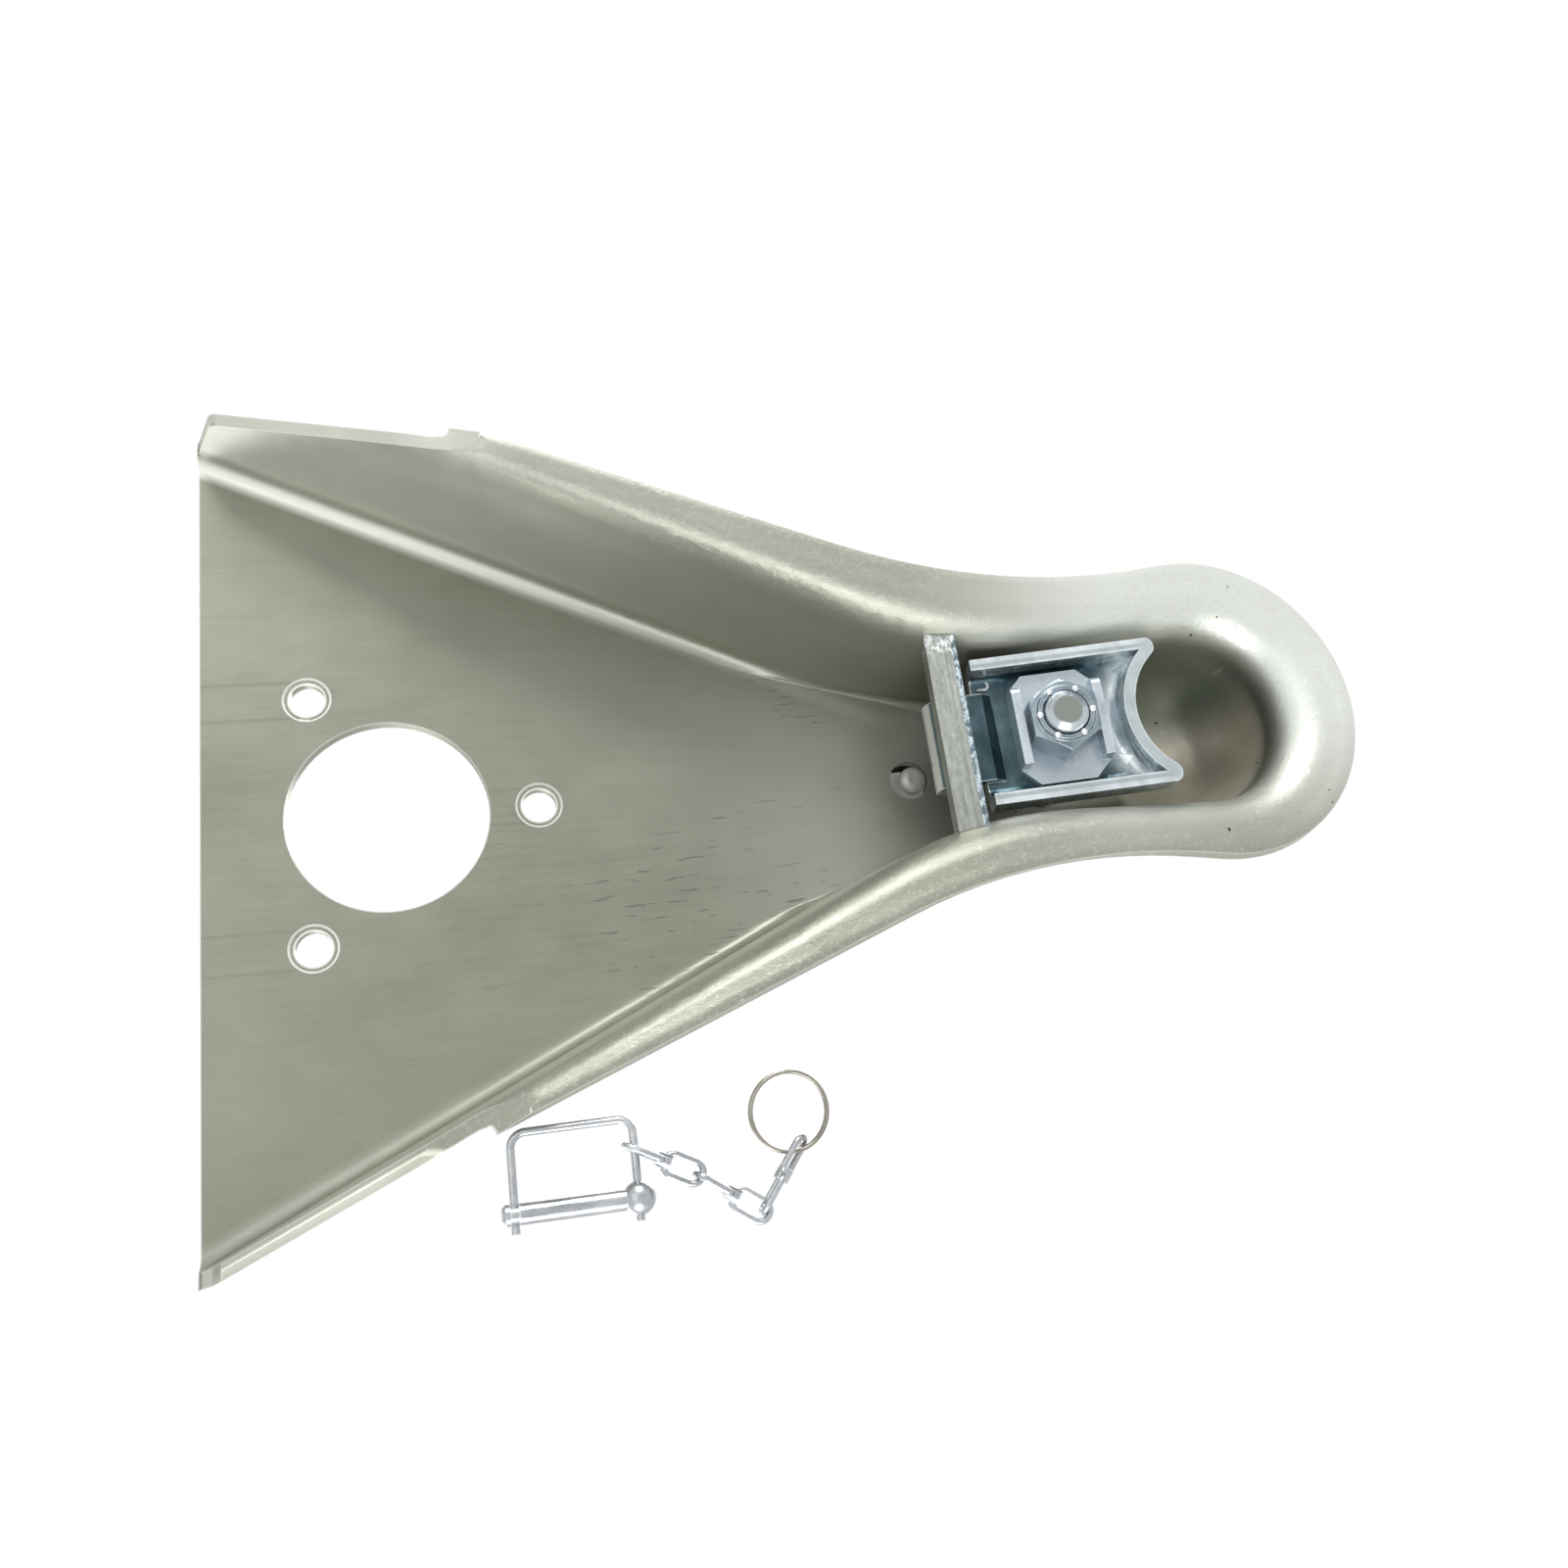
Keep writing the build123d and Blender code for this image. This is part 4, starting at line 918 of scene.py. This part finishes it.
@dataclass
class DressedPart:
    """A part of the frame with its facets smoothed and its edges eased."""

    node: str
    body: str
    slot: str
    edge: Edge
    smooth_angle: float = 32.0
    merge: float = 0.000002
    flat_angle: float = 0.4
    finish: str | None = None
    eased_from: float = 38.0
    face_weight: int = 50

    def build(self, shop: Shop) -> bpy.types.Object:
        """Copies the part's mesh, merges it and gives it its finish.

        Args:
            shop: The finishes.

        Returns:
            The finished piece.
        """
        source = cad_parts[self.node]
        mesh = source.data.copy()
        piece = bpy.data.objects.new(self.node + "_finished", mesh)
        bpy.context.scene.collection.objects.link(piece)
        select_only(piece)
        mesh.materials.clear()
        mesh.materials.append(shop.by_slot[self.finish or self.slot])
        bpy.ops.object.mode_set(mode="EDIT")
        bpy.ops.mesh.select_all(action="SELECT")
        bpy.ops.mesh.remove_doubles(threshold=self.merge)
        bpy.ops.mesh.dissolve_limited(angle_limit=radians(self.flat_angle))
        bpy.ops.object.mode_set(mode="OBJECT")
        self._shape(piece)
        if self.edge is not Edge.NONE:
            self._ease(piece)
        bpy.ops.object.shade_smooth_by_angle(angle=radians(self.smooth_angle))
        weigh = piece.modifiers.new("flat_faces_stay_flat", "WEIGHTED_NORMAL")
        weigh.keep_sharp = True
        weigh.weight = self.face_weight
        bpy.ops.object.modifier_apply(modifier=weigh.name)
        self._carry(piece)
        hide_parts(self.node)
        return piece

    def _carry(self, piece: bpy.types.Object) -> None:
        """Lets the piece move with its body.

        Args:
            piece: The finished piece.
        """
        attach(piece, self.body)

    def _shape(self, piece: bpy.types.Object) -> None:
        """Gives a part forms of its own before its edges are eased.

        Args:
            piece: The piece, which is selected.
        """

    def _ease(self, piece: bpy.types.Object) -> None:
        """Rounds the sharp edges a little.

        Args:
            piece: The piece, which is selected.
        """
        bevel = piece.modifiers.new("eased_edges", "BEVEL")
        bevel.width = self.edge.value
        bevel.segments = 2
        bevel.limit_method = "ANGLE"
        bevel.angle_limit = radians(self.eased_from)
        bevel.use_clamp_overlap = True
        bpy.ops.object.modifier_apply(modifier=bevel.name)


@dataclass
class BallClamp(DressedPart):
    """The ball clamp, whose floor curls up into its walls and its front edge."""

    fillet: float = 0.0040
    steps: int = 7
    near: float = 0.0002

    def _in_corner(self, place: Vector) -> bool:
        """Whether a place lies on the line where the tray's floor meets its walls and its front edge.

        Args:
            place: The place in the clamp's frame.

        Returns:
            Whether it does.
        """
        at_side = abs(abs(place.y) - TRAY.half) < self.near
        at_front = abs(hypot(place.x - TRAY.hollow_centre, place.y) - TRAY.front) < self.near
        return abs(place.z - TRAY.floor) < self.near and (at_side or at_front)

    def _shape(self, piece: bpy.types.Object) -> None:
        """Rounds the corner between the tray's floor and its walls.

        Args:
            piece: The piece, which is selected.
        """
        back = BAR_FRAME.matrix().inverted()
        in_corner = [self._in_corner(back @ vertex.co) for vertex in piece.data.vertices]
        bpy.ops.object.mode_set(mode="EDIT")
        bpy.ops.mesh.select_all(action="DESELECT")
        bpy.ops.mesh.select_mode(type="EDGE")
        bpy.ops.object.mode_set(mode="OBJECT")
        for edge in piece.data.edges:
            edge.select = all(in_corner[corner] for corner in edge.vertices)
        bpy.ops.object.mode_set(mode="EDIT")
        bpy.ops.mesh.bevel(offset=self.fillet, segments=self.steps, profile=0.5, clamp_overlap=False)
        bpy.ops.object.mode_set(mode="OBJECT")


@dataclass
class StretchedSpring(DressedPart):
    """The clamp's spring.

    The clamp tilts as it goes down, so that its floor falls 6 mm behind the spring and 11 mm ahead of it.
    """

    follows: str = "bolt"
    head: float = 0.0370
    bolt_end: float = -0.0225

    def _carry(self, piece: bpy.types.Object) -> None:
        """Bakes the spring's place into its mesh.

        Args:
            piece: The finished piece.
        """
        bolt_matrix = BOLT_FRAME.matrix()
        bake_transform(piece)


@dataclass
class PressedSpring(DressedPart):
    """The trigger's spring, which the trigger presses against the handle when it is pulled."""

    joint: str = "trigger_pull"
    top: Triple = (-0.08754, 0.0, 0.056013)
    kept: float = 0.42

    def _carry(self, piece: bpy.types.Object) -> None:
        """Lets the spring ride on its body, with a mesh of its own.

        Args:
            piece: The finished piece.
        """
        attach(piece, self.body)
        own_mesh(piece)


@dataclass
class SaddleWasher(DressedPart):
    """The saddle. Its solid has an unwanted slot across the bolt's bore, which is filled here.

    The slot, 3 mm wide and 24 mm long, is a fault of the part's source. Two
    equal blocks fill it beside the bore. Low and high are one block's corners in the bolt's frame.
    """

    low: Triple = (-0.0002, 0.0070, 0.0)
    high: Triple = (0.0032, 0.0122, 0.0030)

    def _shape(self, piece: bpy.types.Object) -> None:
        """Fills the slot on both sides of the bolt's bore.

        Args:
            piece: The piece, which is selected.
        """
        low, high = Vector(self.low), Vector(self.high)
        for side in (-1, 1):
            bpy.ops.object.select_all(action="DESELECT")
            bpy.ops.mesh.primitive_cube_add(size=1)
            block = bpy.context.object
            middle = (low + high) / 2
            middle.y *= side
            spot = BOLT_FRAME.matrix() @ Matrix.Translation(middle)
            block.data.transform(spot @ Matrix.Diagonal((*(high - low), 1)))
            select_only(piece)
            union = piece.modifiers.new("whole_plate", "BOOLEAN")
            union.operation = "UNION"
            union.solver = "EXACT"
            union.object = block
            bpy.ops.object.modifier_apply(modifier=union.name)
            bpy.data.objects.remove(block)
        bpy.ops.object.mode_set(mode="EDIT")
        bpy.ops.mesh.select_all(action="SELECT")
        bpy.ops.mesh.dissolve_limited(angle_limit=radians(self.flat_angle))
        bpy.ops.object.mode_set(mode="OBJECT")


@dataclass
class CrimpMarks:
    """Six raised marks round the nut's collar, where it is crimped on the thread, finished near white as
    painted highlights.
    """

    count: int = 6
    reach: float = 0.0076
    radius: float = 0.00095
    flatness: float = 0.6
    height: float = -0.01205

    def build(self, shop: Shop) -> bpy.types.Object:
        """Models one mark, copies it round the collar and joins them.

        Args:
            shop: The finishes.

        Returns:
            The marks as one piece.
        """
        marks = []
        for number in range(self.count):
            bpy.ops.object.select_all(action="DESELECT")
            bpy.ops.mesh.primitive_uv_sphere_add(segments=18, ring_count=10, radius=self.radius)
            mark = bpy.context.object
            angle = radians(360) * number / self.count
            spot = Matrix.Translation((self.reach * cos(angle), self.reach * sin(angle), self.height))
            mark.data.transform(BOLT_FRAME.matrix() @ spot @ Matrix.Diagonal((1, 1, self.flatness, 1)))
            marks.append(mark)
        for mark in marks:
            mark.select_set(True)
        bpy.ops.object.join()
        return hang(bpy.context.object, "crimp_marks", "bolt", "fastener_zinc", shop, "zinc_painted_highlight")


@dataclass
class TrayLoop:
    """Small bent wire loop on the tray's floor beside the bar, finished near white as a painted highlight."""

    along: float = 0.0126
    across: float = -0.0165
    height: float = 0.0079
    reach: float = 0.00125
    wire: float = 0.00045
    leg: float = 0.0022

    def build(self, shop: Shop) -> bpy.types.Object:
        """Models half a ring with two legs.

        Args:
            shop: The finishes.

        Returns:
            The loop.
        """
        bpy.ops.object.select_all(action="DESELECT")
        bpy.ops.mesh.primitive_torus_add(major_radius=self.reach, minor_radius=self.wire,
                                         major_segments=32, minor_segments=14)
        loop = bpy.context.object
        bpy.ops.object.mode_set(mode="EDIT")
        bpy.ops.mesh.select_all(action="SELECT")
        bpy.ops.mesh.bisect(plane_co=(0, 0, 0), plane_no=(1, 0, 0), clear_inner=True)
        bpy.ops.mesh.select_all(action="DESELECT")
        bpy.ops.mesh.select_mode(type="EDGE")
        bpy.ops.mesh.select_non_manifold()
        bpy.ops.mesh.extrude_region_move(TRANSFORM_OT_translate={"value": (-self.leg, 0, 0)})
        bpy.ops.mesh.select_all(action="SELECT")
        bpy.ops.mesh.fill_holes(sides=0)
        bpy.ops.mesh.normals_make_consistent(inside=False)
        bpy.ops.object.mode_set(mode="OBJECT")
        spot = Matrix.Translation((self.along, self.across, self.height))
        loop.data.transform(BAR_FRAME.matrix() @ spot)
        return hang(loop, "tray_loop", "clamp", "clamp_zinc", shop, "zinc_painted_highlight")


def hang(piece: bpy.types.Object, name: str, body: str, slot: str, shop: Shop,
         finish: str | None = None) -> bpy.types.Object:
    """Names a modelled piece, finishes it and lets it ride on a body.

    Args:
        piece: The piece.
        name: Its name.
        body: The body that it rides on.
        slot: The record's slot.
        shop: The finishes.
        finish: A finish other than the slot's own.

    Returns:
        The piece.
    """
    piece.name = name
    piece.data.materials.clear()
    piece.data.materials.append(shop.by_slot[finish or slot])
    select_only(piece)
    bpy.ops.object.shade_smooth_by_angle(angle=radians(PIECE_SMOOTH_ANGLE))
    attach(piece, body)
    return piece


def select_only(piece: bpy.types.Object) -> None:
    """Selects one object alone and makes it the active one.

    Args:
        piece: The object.
    """
    if bpy.context.object and bpy.context.object.mode != "OBJECT":
        bpy.ops.object.mode_set(mode="OBJECT")
    bpy.ops.object.select_all(action="DESELECT")
    piece.select_set(True)
    bpy.context.view_layer.objects.active = piece


@dataclass
class PhotoView:
    """The camera, looking up at the coupling head's underside."""

    place_mm: Triple = (-212.9, 120.8, -351.3)
    right: Triple = (0.97070, 0.13539, -0.19852)
    down: Triple = (-0.06579, 0.94433, 0.32236)
    ahead: Triple = (0.23112, -0.29985, 0.92557)
    lens_mm: float = 30.22
    film_mm: float = 36.0

    def build(self) -> None:
        """Makes the scene's camera."""
        data = bpy.data.cameras.new("photo_view")
        data.lens = self.lens_mm
        data.sensor_width = self.film_mm
        data.clip_start = 0.01
        camera = bpy.data.objects.new("photo_view", data)
        bpy.context.scene.collection.objects.link(camera)
        columns = (Vector(self.right), -Vector(self.down), -Vector(self.ahead))
        turn = Matrix([tuple(column) for column in columns]).transposed()
        camera.matrix_world = Matrix.Translation(Vector(self.place_mm) * MM) @ turn.to_4x4()
        bpy.context.scene.camera = camera


@dataclass(frozen=True)
class SoftLamp:
    """A large soft lamp that looks at a point of the part."""

    name: str
    place: Triple
    size: float
    power: float
    target: Triple = (-0.12, 0.0, 0.0)

    def build(self) -> None:
        """Hangs the lamp."""
        data = bpy.data.lights.new(self.name, "AREA")
        data.shape = "DISK"
        data.size = self.size
        data.energy = self.power
        lamp = bpy.data.objects.new(self.name, data)
        bpy.context.scene.collection.objects.link(lamp)
        way = Vector(self.target) - Vector(self.place)
        lamp.matrix_world = Matrix.Translation(self.place) @ way.to_track_quat("-Z", "Y").to_matrix().to_4x4()


@dataclass
class Studio:
    """White surroundings, five lamps round the part, and a floor that is seen from above only."""

    floor_x: float = -0.1
    floor_half_size: float = 1.5
    floor_gap: float = 0.0002
    floor_colour: Colour = (0.86, 0.86, 0.85)
    surround: float = 0.3
    lamps: tuple[SoftLamp, ...] = field(default_factory=lambda: (
        SoftLamp("key_lamp", (-0.15, -0.8, -0.5), 0.6, 7.0),
        SoftLamp("low_lamp", (-0.7, -0.1, -0.8), 0.8, 1.0),
        SoftLamp("fill_lamp", (-0.3, 0.9, -0.35), 0.7, 5.5),
        SoftLamp("top_lamp", (0.2, -0.5, 0.9), 0.8, 9.0),
        SoftLamp("back_lamp", (-0.6, 0.6, 0.7), 0.8, 5.0),
    ))

    def _surroundings(self) -> None:
        """White all round for the camera and for reflections, softer as a light."""
        world = bpy.data.worlds.new("studio")
        bpy.context.scene.world = world
        world.use_nodes = True
        nodes = world.node_tree.nodes
        links = world.node_tree.links
        nodes.clear()
        path = nodes.new("ShaderNodeLightPath")
        seen = None
        for ray in ("Is Camera Ray", "Is Glossy Ray", "Is Transmission Ray"):
            if seen is None:
                seen = path.outputs[ray]
                continue
            either = nodes.new("ShaderNodeMath")
            either.operation = "MAXIMUM"
            links.new(seen, either.inputs[0])
            links.new(path.outputs[ray], either.inputs[1])
            seen = either.outputs[0]
        strength = nodes.new("ShaderNodeMapRange")
        strength.inputs["To Min"].default_value = self.surround
        strength.inputs["To Max"].default_value = 1.0
        links.new(seen, strength.inputs["Value"])
        sky = nodes.new("ShaderNodeBackground")
        sky.inputs["Color"].default_value = (1, 1, 1, 1)
        links.new(strength.outputs[0], sky.inputs["Strength"])
        links.new(sky.outputs[0], nodes.new("ShaderNodeOutputWorld").inputs["Surface"])

    def _floor(self) -> None:
        """Pale floor under the part, clear from below and for all but the camera."""
        low = CAD_BOX[0][2] - self.floor_gap
        bpy.ops.object.select_all(action="DESELECT")
        bpy.ops.mesh.primitive_plane_add(size=2 * self.floor_half_size, location=(self.floor_x, 0, low))
        floor = bpy.context.object
        floor.name = "floor"
        recipe = Recipe("floor")
        path = recipe.add("ShaderNodeLightPath", output="Is Camera Ray")
        back = recipe.add("ShaderNodeNewGeometry", output="Backfacing")
        clear = recipe.add("ShaderNodeBsdfTransparent", None, {"Color": (1, 1, 1, 1)})
        pale = recipe.add("ShaderNodeBsdfDiffuse", None, {"Color": (*self.floor_colour, 1)})
        mixed = recipe.add("ShaderNodeMixShader", None, {0: path * (1 - back), 1: clear, 2: pale})
        floor.data.materials.append(recipe.close(mixed))

    def build(self) -> None:
        """Sets the studio up."""
        bpy.context.scene.view_settings.view_transform = "Standard"
        self._surroundings()
        self._floor()
        for lamp in self.lamps:
            lamp.build()


PARTS = (
    DressedPart("housing", "root", "housing_zinc", Edge.NONE, 35.0),
    DressedPart("cross_bar", "root", "bar_steel", Edge.ROUNDED),
    BallClamp("ball_clamp", "clamp", "clamp_zinc", Edge.SHEARED),
    SaddleWasher("saddle_washer", "bolt", "saddle_steel", Edge.SHEARED),
    DressedPart("lock_nut", "bolt", "fastener_zinc", Edge.FINE),
    DressedPart("eye_bolt", "bolt", "fastener_zinc", Edge.FINE),
    DressedPart("spring_seat", "root", "fastener_zinc", Edge.FINE),
    StretchedSpring("clamp_spring", "root", "spring_steel", Edge.NONE),
    DressedPart("wear_plate", "root", "latch_zinc", Edge.SHEARED),
    DressedPart("latch_handle", "handle", "latch_zinc", Edge.FINE),
    DressedPart("handle_pivot_pin", "handle", "fastener_zinc", Edge.FINE),
    DressedPart("pivot_clip", "handle", "spring_steel", Edge.WIRE),
    # The trigger's near-white finish paints light on its nose against the shade of its hole
    DressedPart("latch_trigger", "trigger", "latch_zinc", Edge.FINE, finish="nose_zinc_painted_light"),
    DressedPart("trigger_pin", "handle", "fastener_zinc", Edge.NONE),
    PressedSpring("trigger_spring", "handle", "spring_steel", Edge.NONE),
    DressedPart("safety_pin", "root", "pin_zinc", Edge.WIRE),
    DressedPart("bail_wire", "bail", "pin_zinc", Edge.WIRE),
    DressedPart("chain_link_1", "link_1", "pin_zinc", Edge.WIRE),
    DressedPart("chain_link_2", "link_2", "pin_zinc", Edge.WIRE),
    DressedPart("chain_link_3", "link_3", "pin_zinc", Edge.WIRE),
    DressedPart("split_ring", "ring", "spring_steel", Edge.NONE),
)


def main() -> None:
    """Builds the picture: camera, studio and every part."""
    logging.basicConfig(level=logging.INFO, format="%(name)s: %(message)s")
    PhotoView().build()
    Studio().build()
    shop = Shop()
    for part in PARTS:
        piece = part.build(shop)
        log.info("%s on %s, %d faces", piece.name, part.body, len(piece.data.polygons))
    for extra in (CrimpMarks(), TrayLoop()):
        piece = extra.build(shop)
        log.info("%s, %d faces", piece.name, len(piece.data.polygons))


if __name__ == "__main__":
    main()
